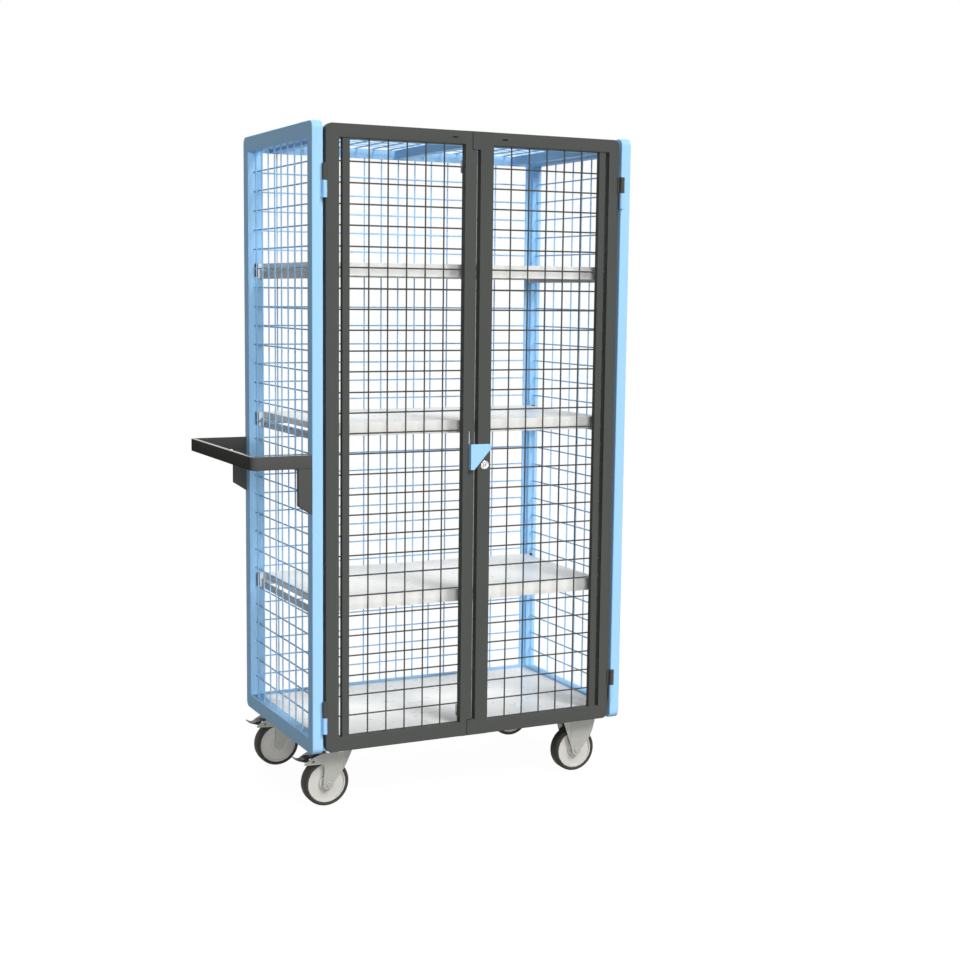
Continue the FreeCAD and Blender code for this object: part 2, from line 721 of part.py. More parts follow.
def caster_plate(x, y):
    """Top plate of one caster with its four bolt holes."""
    across, along = plate_length / 2, plate_width / 2
    plate = box(x - across, x + across, y - along, y + along, plate_bottom, plate_top)
    holes = [rod((place_x, place_y, plate_bottom - 1), bolt_radius + running, plate_thickness + 2, (0, 0, 1))
             for place_x, place_y in bolt_places()]
    return plate.cut(holes)


def folded_sheet(flat, ends, y, inward):
    """Upright sheet, flat in the middle, whose two edges fold towards the wheel."""
    fold = inward * fork_fold
    outer = [(ends[0], fold), (flat[0], 0.0), (flat[1], 0.0), (ends[1], fold)]
    inner = [(x, offset + inward * fork_sheet) for x, offset in reversed(outer)]
    points = [FreeCAD.Vector(x, y + offset, 0) for x, offset in outer + inner]
    points.append(points[0])
    return Part.Face(Part.makePolygon(points)).extrude(FreeCAD.Vector(0, 0, plate_bottom))


def fork_legs(outline, flat, axle_x, y, pins):
    """Two pressed fork legs: tapered folded sheets that end in a round eye for the axle."""
    xs = [x for x, z in outline]
    ends = (min(flat[0], min(xs)) - fork_fold, max(flat[1], max(xs)) + fork_fold)
    start, depth = y - 2 * fork_reach, 4 * fork_reach
    shadow = plate_xz(outline, start, start + depth)
    eye = rod((axle_x, start, wheel_radius), fork_eye, depth, (0, 1, 0))
    holes = [rod((x, start, z), radius + running, depth, (0, 1, 0)) for x, z, radius in pins]
    shadow = shadow.fuse(eye).cut(holes).removeSplitter()
    near = folded_sheet(flat, ends, y - fork_reach, 1)
    far = folded_sheet(flat, ends, y + fork_reach, -1)
    return [sheet.common(shadow).removeSplitter() for sheet in (near, far)]


def swivel_fork(y):
    """Swivel fork: crown and two legs with a horn for the brake."""
    axle_x = swivel_x - trail
    crown_bottom = crown_top - crown_thickness
    hole = rod((swivel_x, y, crown_bottom - 1), king_pin_radius + running, crown_thickness + 2, (0, 0, 1))
    crown = box(crown_left, crown_right, y - leg_inside, y + leg_inside, crown_bottom, crown_top)
    outline = [(-4, 124), (-4, 120), (52, 118)]
    outline += [(axle_x - fork_eye, wheel_radius), (axle_x + fork_eye, wheel_radius)]
    outline += [(110, 105), (fork_right, crown_top), (crown_left - 2, crown_top)]
    pins = [(axle_x, wheel_radius, axle_radius), (*pedal_pivot, pedal_pin)]
    legs = fork_legs(outline, swivel_flat, axle_x, y, pins)
    crown = max(crown.cut([hole] + legs).Solids, key=lambda solid: solid.Volume)
    return [crown] + legs


def swivel_bearing(y):
    """Ball race ring between the crown and the top plate."""
    height = plate_bottom - play - crown_top
    ring = rod((swivel_x, y, crown_top), bearing_radius, height, (0, 0, 1))
    ring = soften(ring, 2.0, lambda edge: edge.BoundBox.ZMin > crown_top + height - 0.1)
    return ring.cut(rod((swivel_x, y, crown_top - 1), king_pin_radius + running, height + 2, (0, 0, 1)))


def axle(x, y):
    """Axle bolt with a head in front and a nut behind."""
    reach = fork_reach + axle_head_thickness
    shank = rod((x, y - reach, wheel_radius), axle_radius, 2 * reach, (0, 1, 0))
    heads = [rod((x, start, wheel_radius), axle_head, axle_head_thickness, (0, 1, 0))
             for start in (y - reach, y + fork_reach)]
    return shank.fuse(heads).removeSplitter()


def swivel_axles(y):
    """Axle and brake pedal pin of a swivel caster."""
    pin = rod((pedal_pivot[0], y - fork_reach, pedal_pivot[1]), pedal_pin, 2 * fork_reach, (0, 1, 0))
    return [axle(swivel_x - trail, y), pin]


def brake_pedal(y):
    """Bent brake pedal with a boss round its pin."""
    px, pz = pedal_pivot
    outline = [(px, pz + pedal_boss), (6, 134), (-8, 130), (-24, 137)]
    outline += [(-26, 134.5), (-9, 126), (4, 121.5), (px, pz - pedal_boss)]
    plate = plate_xz(outline, y - pedal_half_width, y + pedal_half_width)
    boss_half = leg_inside - play
    boss = rod((px, y - boss_half, pz), pedal_boss, 2 * boss_half, (0, 1, 0))
    hole = rod((px, y - boss_half - 1, pz), pedal_pin + running, 2 * boss_half + 2, (0, 1, 0))
    return plate.fuse(boss).cut(hole).removeSplitter()


def fixed_fork(y):
    """Fixed caster: top plate and two tapered legs."""
    left, right = fixed_plate_x - plate_length / 2, fixed_fork_right
    outline = [(left, plate_bottom), (fixed_axle_x - fork_eye, wheel_radius)]
    outline += [(fixed_axle_x + fork_eye, wheel_radius), (right - 16, 103), (right, plate_bottom)]
    pins = [(fixed_axle_x, wheel_radius, axle_radius)]
    return [caster_plate(fixed_plate_x, y)] + fork_legs(outline, fixed_flat, fixed_axle_x, y, pins)


def turned(profile, x, y):
    """Solid of revolution about a wheel's axle, from points of radius and side offset."""
    points = [FreeCAD.Vector(x, y + side, wheel_radius + radius) for radius, side in profile]
    points.append(points[0])
    face = Part.Face(Part.makePolygon(points))
    return face.revolve(FreeCAD.Vector(x, y, wheel_radius), FreeCAD.Vector(0, 1, 0), 360)


def wheel_hub(x, y):
    """Dished rim with a raised boss."""
    half, boss, web = hub_width / 2, boss_width / 2, 11.0
    side = [(bush_radius, boss), (boss_radius - 2, boss), (boss_radius, boss - 2), (boss_radius + 1, web + 1),
            (rim_radius - 7, web), (rim_radius - 5, half), (rim_radius, half)]
    return turned(side + [(radius, -offset) for radius, offset in reversed(side)], x, y)


def tyre(x, y):
    """Rubber tyre with rounded shoulders."""
    half, shoulder = tyre_width / 2, 5.0
    side = [(rim_radius, half - 1), (rim_radius + 3, half), (wheel_radius - shoulder, half - 0.6),
            (wheel_radius - 1.5, half - 3), (wheel_radius, half - 8)]
    return turned(side + [(radius, -offset) for radius, offset in reversed(side)], x, y)


def wheel_bush(x, y):
    """Plain bush between the axle and the hub."""
    outer = rod((x, y - bush_length / 2, wheel_radius), bush_radius, bush_length, (0, 1, 0))
    bore = rod((x, y - bush_length, wheel_radius), axle_radius + running, 2 * bush_length, (0, 1, 0))
    return outer.cut(bore)


def caster_bolts():
    """Bolts that hold the four caster plates to the floor frame."""
    bolts = []
    for x, y in bolt_places():
        head = rod((x, y, plate_bottom - bolt_head_thickness), bolt_head, bolt_head_thickness, (0, 0, 1))
        shank = rod((x, y, plate_bottom - 1), bolt_radius, plate_thickness + bolt_length + 1, (0, 0, 1))
        bolts.append(head.fuse(shank).removeSplitter())
    return bolts


def frame_bolts():
    """Bolts through the back stiles into the end frames."""
    inner = post_width + back_sheet
    bolts = []
    start = post_width - frame_bolt_reach
    for level in frame_bolt_levels:
        shank = rod((start, frame_bolt_y, level), bolt_radius, inner - start + 1, (1, 0, 0))
        head = rod((inner, frame_bolt_y, level), frame_bolt_head, bolt_head_thickness, (1, 0, 0))
        bolts.append(shank.fuse(head).removeSplitter())
    return bolts + mirrored(bolts)


def save(name, solids):
    """Write one node, shifted so that the origin is under the middle of the cart."""
    shape = Part.makeCompound(solids) if isinstance(solids, list) else solids.copy()
    shape.translate(FreeCAD.Vector(-middle_x, -middle_y, 0))
    shape.exportStep("parts/" + name + ".step")


def save_casters():
    """Write the swivel casters, their pedals and all four wheels."""
    wheels = {"front_left": (swivel_x - trail, caster_y), "rear_left": (swivel_x - trail, far_y),
              "front_right": (fixed_axle_x, caster_y), "rear_right": (fixed_axle_x, far_y)}
    for name, y in (("front", caster_y), ("rear", far_y)):
        save(name + "_caster_fork", swivel_fork(y))
        save(name + "_caster_bearing", swivel_bearing(y))
        save(name + "_caster_axle", swivel_axles(y))
        save(name + "_brake_pedal", brake_pedal(y))
    for name, (x, y) in wheels.items():
        save(name + "_hub", wheel_hub(x, y))
        save(name + "_tyre", tyre(x, y))
        save(name + "_bush", wheel_bush(x, y))
    save("swivel_plates", [swivel_plate(y) for y in (caster_y, far_y)])
    save("fixed_forks", fixed_fork(caster_y) + fixed_fork(far_y))
    save("fixed_axles", [axle(fixed_axle_x, y) for y in (caster_y, far_y)])
    save("caster_bolts", caster_bolts())


def main():
    """Build every piece and write it."""
    os.makedirs("parts", exist_ok=True)
    left_frame = end_frame()
    save("left_end_frame", left_frame)
    save("right_end_frame", mirrored(left_frame))
    save("left_end_mesh", end_mesh(left_end_first_wire))
    save("right_end_mesh", mirrored([end_mesh(right_end_first_wire)])[0])
    save("back_frame", back_frame())
    save("back_mesh", back_mesh())
    save("roof_frame", roof_frame())
    save("roof_mesh", roof_mesh())
    save("floor_frame", floor_frame())
    save("deck_board", deck_board())
    save("frame_bolts", frame_bolts())
    for name, top in shelf_tops.items():
        save(name + "_shelf", shelf(top))
        save(name + "_shelf_brackets", shelf_brackets(top))
    save("push_handle", push_handle())
    save("left_door_frame", left_door_frame())
    save("left_door_mesh", left_door_mesh())
    save("right_door_frame", right_door_frame())
    save("right_door_mesh", right_door_mesh())
    left_knuckles = door_knuckles()
    save("left_door_knuckles", left_knuckles)
    save("right_door_knuckles", mirrored(left_knuckles))
    save("frame_hinge_knuckles", frame_knuckles())
    save("hinge_pins", hinge_pins())
    save("latch_plate", latch_plate())
    save("latch_bar", latch_bar())
    save("latch_keepers", latch_keepers())
    save("lock_body", lock_body())
    save("lock_plug", lock_plug())
    save("lock_cam", lock_cam())
    save_casters()


main()
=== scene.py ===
"""Looks of a wire cage cart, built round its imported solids.

Sizes in the classes are millimetres in the cart's own frame: X from the outer face of the left end frame,
Y from the front of the doors and Z from the floor. The function row_metres turns them into metres in the
part's frame.
"""

import logging
import math
from dataclasses import dataclass, field, replace
from enum import Enum
from functools import cache
from typing import Callable, Sequence

import bmesh
import bpy
import numpy as np
from mathutils import Matrix, Vector


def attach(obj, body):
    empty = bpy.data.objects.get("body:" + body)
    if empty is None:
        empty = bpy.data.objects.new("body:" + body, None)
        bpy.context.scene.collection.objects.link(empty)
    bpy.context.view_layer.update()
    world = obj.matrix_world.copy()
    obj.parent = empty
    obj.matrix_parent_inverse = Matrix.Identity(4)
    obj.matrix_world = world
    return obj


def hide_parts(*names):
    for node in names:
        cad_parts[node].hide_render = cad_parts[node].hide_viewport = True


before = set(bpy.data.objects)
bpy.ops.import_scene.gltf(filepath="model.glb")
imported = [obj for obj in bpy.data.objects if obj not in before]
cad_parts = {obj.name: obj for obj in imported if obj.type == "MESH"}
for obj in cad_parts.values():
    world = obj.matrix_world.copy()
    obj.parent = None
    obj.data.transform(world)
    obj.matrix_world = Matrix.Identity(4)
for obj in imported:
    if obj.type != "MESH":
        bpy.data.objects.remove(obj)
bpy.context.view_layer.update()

LOG = logging.getLogger("cage_cart")
Colour = tuple[float, float, float]
Point = tuple[float, float, float]
Span = tuple[float, float]
Sockets = dict[str, bpy.types.NodeSocket]

# Origin of the part's frame in the cart's frame, and sizes that several sub-assemblies share.
MIDDLE = np.array([377.25, 266.25, 0.0])
CAGE_DEPTH = 546.0
WIRE_PITCH = 52.27
WIRE_LEVELS = 252.1 + WIRE_PITCH * np.arange(28)
WIRE_BITE = 1.5
CASTER_Y = {"front": 78.0, "rear": 468.0}
AXLE_Z = 62.5
FORK_HALF = 28.0
WHITE = (1.0, 1.0, 1.0, 1.0)

# Least radius of an arc, and the cosine past which a corner counts as straight or folded back.
LEAST_RADIUS = 1e-4
STRAIGHT = 0.999999


def row_metres(points: np.ndarray) -> np.ndarray:
    """Points in millimetres of the cart's frame as metres in the part's frame."""
    return (np.asarray(points, float) - MIDDLE) / 1000.0


class Axis(Enum):
    """Direction of a straight piece, by its index in a point."""

    X = 0
    Y = 1
    Z = 2

    @property
    def others(self) -> list[int]:
        """Indices of the two directions across it, in order."""
        return [index for index in range(3) if index != self.value]


@dataclass
class Shell:
    """Points in millimetres and the faces between them.

    Args:
        points: array of points, one row each.
        faces: lists of point indices, one for each face.
    """

    points: np.ndarray
    faces: list[list[int]]

    def joined(self, other: "Shell") -> "Shell":
        """This shell and another one as one.

        Args:
            other: the other shell.

        Returns:
            One shell that holds both, still apart.
        """
        shift = len(self.points)
        moved = [[index + shift for index in face] for face in other.faces]
        return Shell(np.concatenate([self.points, other.points]), self.faces + moved)


def join_shells(shells: Sequence[Shell]) -> Shell:
    """Several shells as one.

    Args:
        shells: at least one shell.

    Returns:
        One shell that holds them all, still apart.
    """
    whole = shells[0]
    for shell in shells[1:]:
        whole = whole.joined(shell)
    return whole


def grid_faces(rows: int, columns: int, wrap_rows: bool, wrap_columns: bool) -> list[list[int]]:
    """Quads of a grid: each joins a grid point to its neighbours along both parameters.

    Args:
        rows: number of points along the first parameter.
        columns: number of points along the second parameter.
        wrap_rows: True where the last row meets the first.
        wrap_columns: True where the last column meets the first.

    Returns:
        Four point indices for each face.
    """
    row = np.arange(rows if wrap_rows else rows - 1)[:, None]
    column = np.arange(columns if wrap_columns else columns - 1)[None, :]
    next_row, next_column = (row + 1) % rows, (column + 1) % columns
    corners = np.broadcast_arrays(row * columns + column, next_row * columns + column,
                                  next_row * columns + next_column, row * columns + next_column)
    return np.stack(corners, axis=-1).reshape(-1, 4).tolist()


def carried(loops: np.ndarray) -> Shell:
    """Closed section carried along a path, with a flat face at both ends.

    Args:
        loops: array of path step, section point and coordinate: the section at each step of the path.

    Returns:
        The skin between neighbouring sections, with its ends.
    """
    steps, count = loops.shape[:2]
    faces = grid_faces(steps, count, False, True)
    faces.append(list(range(count))[::-1])
    faces.append(list(range((steps - 1) * count, steps * count)))
    return Shell(loops.reshape(-1, 3), faces)


def rounded(corners: Sequence[Sequence[float]], radii: Sequence[float], steps: int = 5,
            closed: bool = True) -> np.ndarray:
    """Line through the corners with an arc at each one.

    The arc's centre lies on the corner's bisector, and its points are the two tangent directions blended by
    the sines of the shares of the turn.

    Args:
        corners: points of the sharp line.
        radii: radius of the arc at each corner.
        steps: points on each arc.
        closed: False to keep the first and last corner as plain ends.

    Returns:
        Array of points along the rounded line.
    """
    corner = np.asarray(corners, float)
    to_last = np.roll(corner, 1, axis=0) - corner
    to_next = np.roll(corner, -1, axis=0) - corner
    to_last /= np.linalg.norm(to_last, axis=1, keepdims=True)
    to_next /= np.linalg.norm(to_next, axis=1, keepdims=True)
    opening = np.arccos(np.clip((to_last * to_next).sum(axis=1), -STRAIGHT, STRAIGHT))
    radius = np.maximum(np.asarray(radii, float), LEAST_RADIUS)
    reach = (radius / np.tan(opening / 2))[:, None]
    bisector = to_last + to_next
    bisector /= np.linalg.norm(bisector, axis=1, keepdims=True)
    centre = corner + bisector * (radius / np.sin(opening / 2))[:, None]
    first, last = corner + to_last * reach - centre, corner + to_next * reach - centre
    share = np.linspace(0.0, 1.0, steps)[None, :, None]
    turn = (math.pi - opening)[:, None, None]
    arcs = np.sin((1 - share) * turn) * first[:, None] + np.sin(share * turn) * last[:, None]
    arcs = centre[:, None] + arcs / np.sin(turn)
    if closed:
        return arcs.reshape(-1, corner.shape[1])
    return np.concatenate([corner[:1], arcs[1:-1].reshape(-1, corner.shape[1]), corner[-1:]])


def turned(profile: np.ndarray, centre: Point, segments: int, ring: bool = True) -> Shell:
    """Surface of revolution about a line along Y: each profile point goes round it at its own radius.

    Args:
        profile: radius and place along the line of each profile point.
        centre: a point on the line.
        segments: number of steps round it.
        ring: True where the profile is a closed loop, False where it runs from pole to pole.

    Returns:
        The turned skin.
    """
    angle = np.arange(segments) * (2 * math.pi / segments)
    radius, along = profile[:, 0][:, None], profile[:, 1][:, None]
    points = np.empty((len(profile), segments, 3))
    points[..., 0] = centre[0] + radius * np.cos(angle)
    points[..., 1] = centre[1] + along
    points[..., 2] = centre[2] + radius * np.sin(angle)
    return Shell(points.reshape(-1, 3), grid_faces(len(profile), segments, ring, True))


def round_bars(starts: np.ndarray, ends: np.ndarray, radius: float, sides: int = 10) -> Shell:
    """Straight round bars: for each a circle carried from its start to its end, with flat ends.

    Args:
        starts: first centre of each bar.
        ends: last centre of each bar.
        radius: radius of the bars.
        sides: sides of the circle.

    Returns:
        All bars as one shell.
    """
    axis = ends - starts
    axis = axis / np.linalg.norm(axis, axis=1, keepdims=True)
    helper = np.where(np.abs(axis[:, 2:3]) < 0.9, [[0.0, 0.0, 1.0]], [[1.0, 0.0, 0.0]])
    across = np.cross(axis, helper)
    across /= np.linalg.norm(across, axis=1, keepdims=True)
    other = np.cross(axis, across)
    angle = (np.arange(sides) + 0.5) * (2 * math.pi / sides)
    cosine, sine = np.cos(angle)[None, :, None], np.sin(angle)[None, :, None]
    circle = radius * (cosine * across[:, None] + sine * other[:, None])
    points = np.concatenate([starts[:, None] + circle, ends[:, None] + circle], axis=1)
    shift = (np.arange(len(starts)) * 2 * sides)[:, None, None]
    quads = (np.array(grid_faces(2, sides, False, True))[None] + shift).reshape(-1, 4)
    caps = np.stack([np.arange(sides)[::-1], np.arange(sides) + sides])
    ends_faces = (caps[None] + shift).reshape(-1, sides)
    return Shell(points.reshape(-1, 3), quads.tolist() + ends_faces.tolist())


def plate(outline: np.ndarray, heights: Span) -> Shell:
    """Level plate: an outline carried from one height to another.

    Args:
        outline: X and Y of the outline's points.
        heights: heights of its two faces.

    Returns:
        The plate's skin.
    """
    loops = np.empty((2, len(outline), 3))
    loops[:, :, :2] = outline
    loops[0, :, 2], loops[1, :, 2] = heights
    return carried(loops)


class NodeKit:
    """Short ways to add nodes and links to a node tree."""

    def __init__(self, tree: bpy.types.NodeTree) -> None:
        """Keep the tree that the nodes go into."""
        self.tree = tree

    def feed(self, socket: bpy.types.NodeSocket, value: object) -> None:
        """Link an output socket to an input, or set the input's value.

        Args:
            socket: the input.
            value: an output socket, or a plain value.
        """
        if isinstance(value, bpy.types.NodeSocket):
            self.tree.links.new(value, socket)
        else:
            socket.default_value = value

    def fill(self, node: bpy.types.Node, **inputs: object) -> bpy.types.Node:
        """Set or link several inputs of a node.

        Args:
            node: the node.
            inputs: values or output sockets by input name, with _ for a space.

        Returns:
            The same node.
        """
        for name, value in inputs.items():
            self.feed(node.inputs[name.replace("_", " ")], value)
        return node

    def add(self, kind: str, **inputs: object) -> bpy.types.Node:
        """Add a node of a kind, with values or output sockets for its inputs."""
        return self.fill(self.tree.nodes.new(kind), **inputs)

    def use(self, effect: bpy.types.NodeTree, **inputs: object) -> Sockets:
        """Place a shared effect with its own values.

        Args:
            effect: the effect's group.
            inputs: values or output sockets by input name.

        Returns:
            The effect's output sockets by name.
        """
        node = self.tree.nodes.new("ShaderNodeGroup")
        node.node_tree = effect
        self.fill(node, **inputs)
        return {socket.name: socket for socket in node.outputs}

    def math(self, operation: str, first: object, second: object,
             clamp: bool = False) -> bpy.types.NodeSocket:
        """Result of a math node.

        Args:
            operation: Blender's name of the operation.
            first: first value or output socket.
            second: second value or output socket.
            clamp: True to keep the result between 0 and 1.

        Returns:
            The result's socket.
        """
        node = self.tree.nodes.new("ShaderNodeMath")
        node.operation, node.use_clamp = operation, clamp
        self.feed(node.inputs[0], first)
        self.feed(node.inputs[1], second)
        return node.outputs[0]

    def blend(self, factor: object, first: object, second: object) -> bpy.types.NodeSocket:
        """Colour between two colours.

        Args:
            factor: share of the second colour.
            first: first colour or output socket.
            second: second colour or output socket.

        Returns:
            The blended colour's socket.
        """
        node = self.tree.nodes.new("ShaderNodeMix")
        node.data_type = "RGBA"
        for index, value in ((0, factor), (6, first), (7, second)):
            self.feed(node.inputs[index], value)
        return node.outputs[2]

    def scaled(self, colour: object, level: object) -> bpy.types.NodeSocket:
        """Colour times a level.

        Args:
            colour: colour or output socket.
            level: factor or output socket.

        Returns:
            The scaled colour's socket.
        """
        node = self.tree.nodes.new("ShaderNodeVectorMath")
        node.operation = "SCALE"
        self.feed(node.inputs[0], colour)
        self.feed(node.inputs["Scale"], level)
        return node.outputs[0]

    def noise(self, place: object, scale: object, detail: float) -> bpy.types.NodeSocket:
        """Value of a noise at a place, with waves for each metre and steps of finer detail."""
        return self.add("ShaderNodeTexNoise", Scale=scale, Detail=detail, Vector=place).outputs[0]

    def around_zero(self, value: object) -> bpy.types.NodeSocket:
        """A value between 0 and 1 moved to lie evenly about 0."""
        return self.math("SUBTRACT", value, 0.5)

    def place(self) -> bpy.types.NodeSocket:
        """The piece's own coordinates in metres."""
        return self.tree.nodes.new("ShaderNodeTexCoord").outputs["Object"]

    def surface(self, name: str) -> bpy.types.NodeSocket:
        """A property of the surface, by its name in the geometry node."""
        return self.tree.nodes.new("ShaderNodeNewGeometry").outputs[name]

    def looks_up(self, least: float, gain: float) -> bpy.types.NodeSocket:
        """Mask of faces that look up.

        Args:
            least: upward part of the normal at which the mask starts.
            gain: how fast it rises from there.

        Returns:
            The mask's socket.
        """
        upward = self.add("ShaderNodeSeparateXYZ", Vector=self.surface("Normal")).outputs["Z"]
        return self.math("MULTIPLY", self.math("SUBTRACT", upward, least), gain, clamp=True)

    def relief(self, shader: bpy.types.Node, height: bpy.types.NodeSocket, depth: float,
               strength: float) -> None:
        """Raise a shader's surface.

        Args:
            shader: the shader.
            height: socket of the height.
            depth: depth of the relief in metres.
            strength: its strength.
        """
        bump = self.add("ShaderNodeBump", Height=height, Strength=strength, Distance=depth)
        self.feed(shader.inputs["Normal"], bump.outputs[0])

    def show_mixed(self, kind: str, share: object, first: bpy.types.Node, second: bpy.types.Node) -> None:
        """Mix two shaders and make them what the tree shows.

        Args:
            kind: Blender's name of the output node.
            share: share of the second shader.
            first: first shader.
            second: second shader.
        """
        mixed = self.tree.nodes.new("ShaderNodeMixShader")
        for index, value in enumerate((share, first.outputs[0], second.outputs[0])):
            self.feed(mixed.inputs[index], value)
        self.add(kind, Surface=mixed.outputs[0])


class Effects:
    """Shader groups that several finishes share, each made once.

    A coat's roughness wanders by SMEAR. The lighter edge colour, rubbed wear and a painted highlight, starts
    at a pointiness of EDGE_START and rises by EDGE_GAIN.
    Polished tops cover POLISH_LEAST and up to POLISH_SWING more, with a roughness of POLISHED. The roughness
    of crystals follows their shade by CRYSTAL_GLOSS.
    """

    SMEAR = 0.16
    EDGE_START = 0.52
    EDGE_GAIN = 9.0
    POLISH_LEAST = 0.85
    POLISH_SWING = 0.2
    POLISHED = 0.06
    CRYSTAL_GLOSS = 0.5
    COLOUR_SOCKETS = ("Colour", "Bare")
    DUST_COLOUR = (0.42, 0.41, 0.38, 1.0)

    @classmethod
    def group(cls, name: str, inputs: str, outputs: str) -> tuple[NodeKit, Sockets, bpy.types.Node]:
        """Start a shader group.

        Args:
            name: name of the group.
            inputs: names of its inputs, with a space between them.
            outputs: names of its outputs, with a space between them.
        """
        tree = bpy.data.node_groups.new(name, "ShaderNodeTree")
        for labels, way in ((inputs, "INPUT"), (outputs, "OUTPUT")):
            for label in labels.split():
                kind = "NodeSocketColor" if label in cls.COLOUR_SOCKETS else "NodeSocketFloat"
                tree.interface.new_socket(label, in_out=way, socket_type=kind)
        source = tree.nodes.new("NodeGroupInput")
        given = {label: source.outputs[label] for label in inputs.split()}
        return NodeKit(tree), given, tree.nodes.new("NodeGroupOutput")

    @classmethod
    @cache
    def coat(cls) -> bpy.types.NodeTree:
        """Sprayed coat: slow drifts of shade and gloss, and a fine ripple.

        Returns:
            The group, which puts out colour, roughness and height.
        """
        kit, given, out = cls.group("sprayed_coat", "Colour Drift Gloss Ripple", "Colour Roughness Height")
        place = kit.place()
        slow, quick = kit.noise(place, scale=5.0, detail=4.0), kit.noise(place, scale=38.0, detail=3.0)
        change = kit.math("MULTIPLY", kit.around_zero(slow), given["Drift"])
        smears = kit.math("MULTIPLY", kit.around_zero(quick), cls.SMEAR)
        kit.fill(out, Colour=kit.scaled(given["Colour"], kit.math("ADD", change, 1.0)),
                 Roughness=kit.math("ADD", given["Gloss"], smears),
                 Height=kit.noise(place, scale=given["Ripple"], detail=2.0))
        return kit.tree

    @classmethod
    @cache
    def edges(cls) -> bpy.types.NodeTree:
        """Rubbed edges and painted highlight: the edge colour where the surface is sharply convex, broken up
        by a noise.

        Returns:
            The group, which puts out a colour.
        """
        kit, given, out = cls.group("rubbed_and_highlit_edges", "Colour Bare Amount", "Colour")
        past = kit.math("SUBTRACT", kit.surface("Pointiness"), cls.EDGE_START)
        sharp = kit.math("MULTIPLY", past, cls.EDGE_GAIN, clamp=True)
        broken = kit.math("MULTIPLY", sharp, kit.noise(kit.place(), scale=60.0, detail=3.0))
        mask = kit.math("MULTIPLY", broken, given["Amount"], clamp=True)
        # Sharp convex edges take the lighter edge colour: rubbed wear, and a painted highlight along the
        # edges.
        kit.fill(out, Colour=kit.blend(mask, given["Colour"], given["Bare"]))
        return kit.tree

    @classmethod
    @cache
    def dust(cls) -> bpy.types.NodeTree:
        """Settled dust: a pale veil on faces that look up, patchy by a noise.

        Returns:
            The group, which puts out a colour.
        """
        kit, given, out = cls.group("settled_dust", "Colour Amount", "Colour")
        patches = kit.math("MULTIPLY", kit.looks_up(least=0.6, gain=2.5),
                           kit.noise(kit.place(), scale=22.0, detail=5.0))
        mask = kit.math("MULTIPLY", patches, given["Amount"], clamp=True)
        kit.fill(out, Colour=kit.blend(mask, given["Colour"], cls.DUST_COLOUR))
        return kit.tree

    @classmethod
    @cache
    def polish(cls) -> bpy.types.NodeTree:
        """Polished tops: a mask on faces that look up, uneven by a noise, and a smoother gloss there.

        Returns:
            The group, which puts out mask and roughness.
        """
        kit, given, out = cls.group("polished_tops", "Gloss", "Mask Roughness")
        swing = kit.math("MULTIPLY", kit.noise(kit.place(), scale=30.0, detail=3.0), cls.POLISH_SWING)
        uneven = kit.math("ADD", swing, cls.POLISH_LEAST)
        mask = kit.math("MULTIPLY", kit.looks_up(least=0.7, gain=5.0), uneven, clamp=True)
        smoother = kit.math("MULTIPLY", kit.math("SUBTRACT", given["Gloss"], cls.POLISHED), mask)
        kit.fill(out, Mask=mask, Roughness=kit.math("SUBTRACT", given["Gloss"], smoother))
        return kit.tree

    @classmethod
    @cache
    def crystals(cls) -> bpy.types.NodeTree:
        """Zinc crystals: cells of slightly different shade and gloss.

        Returns:
            The group, which puts out colour, roughness and height.
        """
        kit, given, out = cls.group("zinc_crystals", "Colour Contrast Gloss Size", "Colour Roughness Height")
        place = kit.place()
        cells = kit.add("ShaderNodeTexVoronoi", Vector=place, Scale=given["Size"])
        value = kit.add("ShaderNodeSeparateColor", Color=cells.outputs["Color"]).outputs[0]
        swing = kit.math("MULTIPLY", kit.around_zero(value), given["Contrast"])
        kit.fill(out, Colour=kit.scaled(given["Colour"], kit.math("ADD", swing, 1.0)),
                 Roughness=kit.math("ADD", given["Gloss"], kit.math("MULTIPLY", swing, cls.CRYSTAL_GLOSS)),
                 Height=kit.noise(place, scale=420.0, detail=3.0))
        return kit.tree


@dataclass(frozen=True)
class Finish:
    """What every finish of the cart has: a name, the record's slot, a colour, and how it shines.

    Args:
        name: name of the material.
        slot: the record's material slot.
        colour: base colour.
        gloss: middle of the roughness.
        specular: level of the clear reflection.
        top_coat: refraction of a clear coat on the faces that look up, 0 for no coat.
    """

    name: str
    slot: str
    colour: Colour
    gloss: float
    specular: float = 0.5
    top_coat: float = 0.0

    def shade(self, factor: float = 1.0, lift: float = 0.0) -> tuple[float, ...]:
        """The colour times a factor and raised by a lift, with full cover."""
        return (*(min(1.0, channel * factor + lift) for channel in self.colour), 1.0)

    def material(self) -> bpy.types.Material:
        """The finish as a material, made once.

        Returns:
            The material.
        """
        known = bpy.data.materials.get(self.name)
        if known is not None:
            return known
        material = bpy.data.materials.new(self.name)
        material.use_nodes = True
        material.diffuse_color = self.shade()
        kit = NodeKit(material.node_tree)
        shader = material.node_tree.nodes["Principled BSDF"]
        shader.inputs["Specular IOR Level"].default_value = self.specular
        self.dress(kit, shader)
        if self.top_coat:
            self.polish(kit, shader)
        return material

    def dress(self, kit: NodeKit, shader: bpy.types.Node) -> None:
        """Feed the shader; each kind of finish has its own way."""
        raise NotImplementedError

    def polish(self, kit: NodeKit, shader: bpy.types.Node) -> None:
        """Lay a clear coat on the faces that look up.

        Args:
            kit: kit of the material's tree.
            shader: the dressed shader.
        """
        gloss = shader.inputs["Roughness"].links[0].from_socket
        tops = kit.use(Effects.polish(), Gloss=gloss)
        kit.fill(shader, Roughness=tops["Roughness"], Coat_Weight=tops["Mask"], Coat_Roughness=0.05,
                 Coat_IOR=self.top_coat)


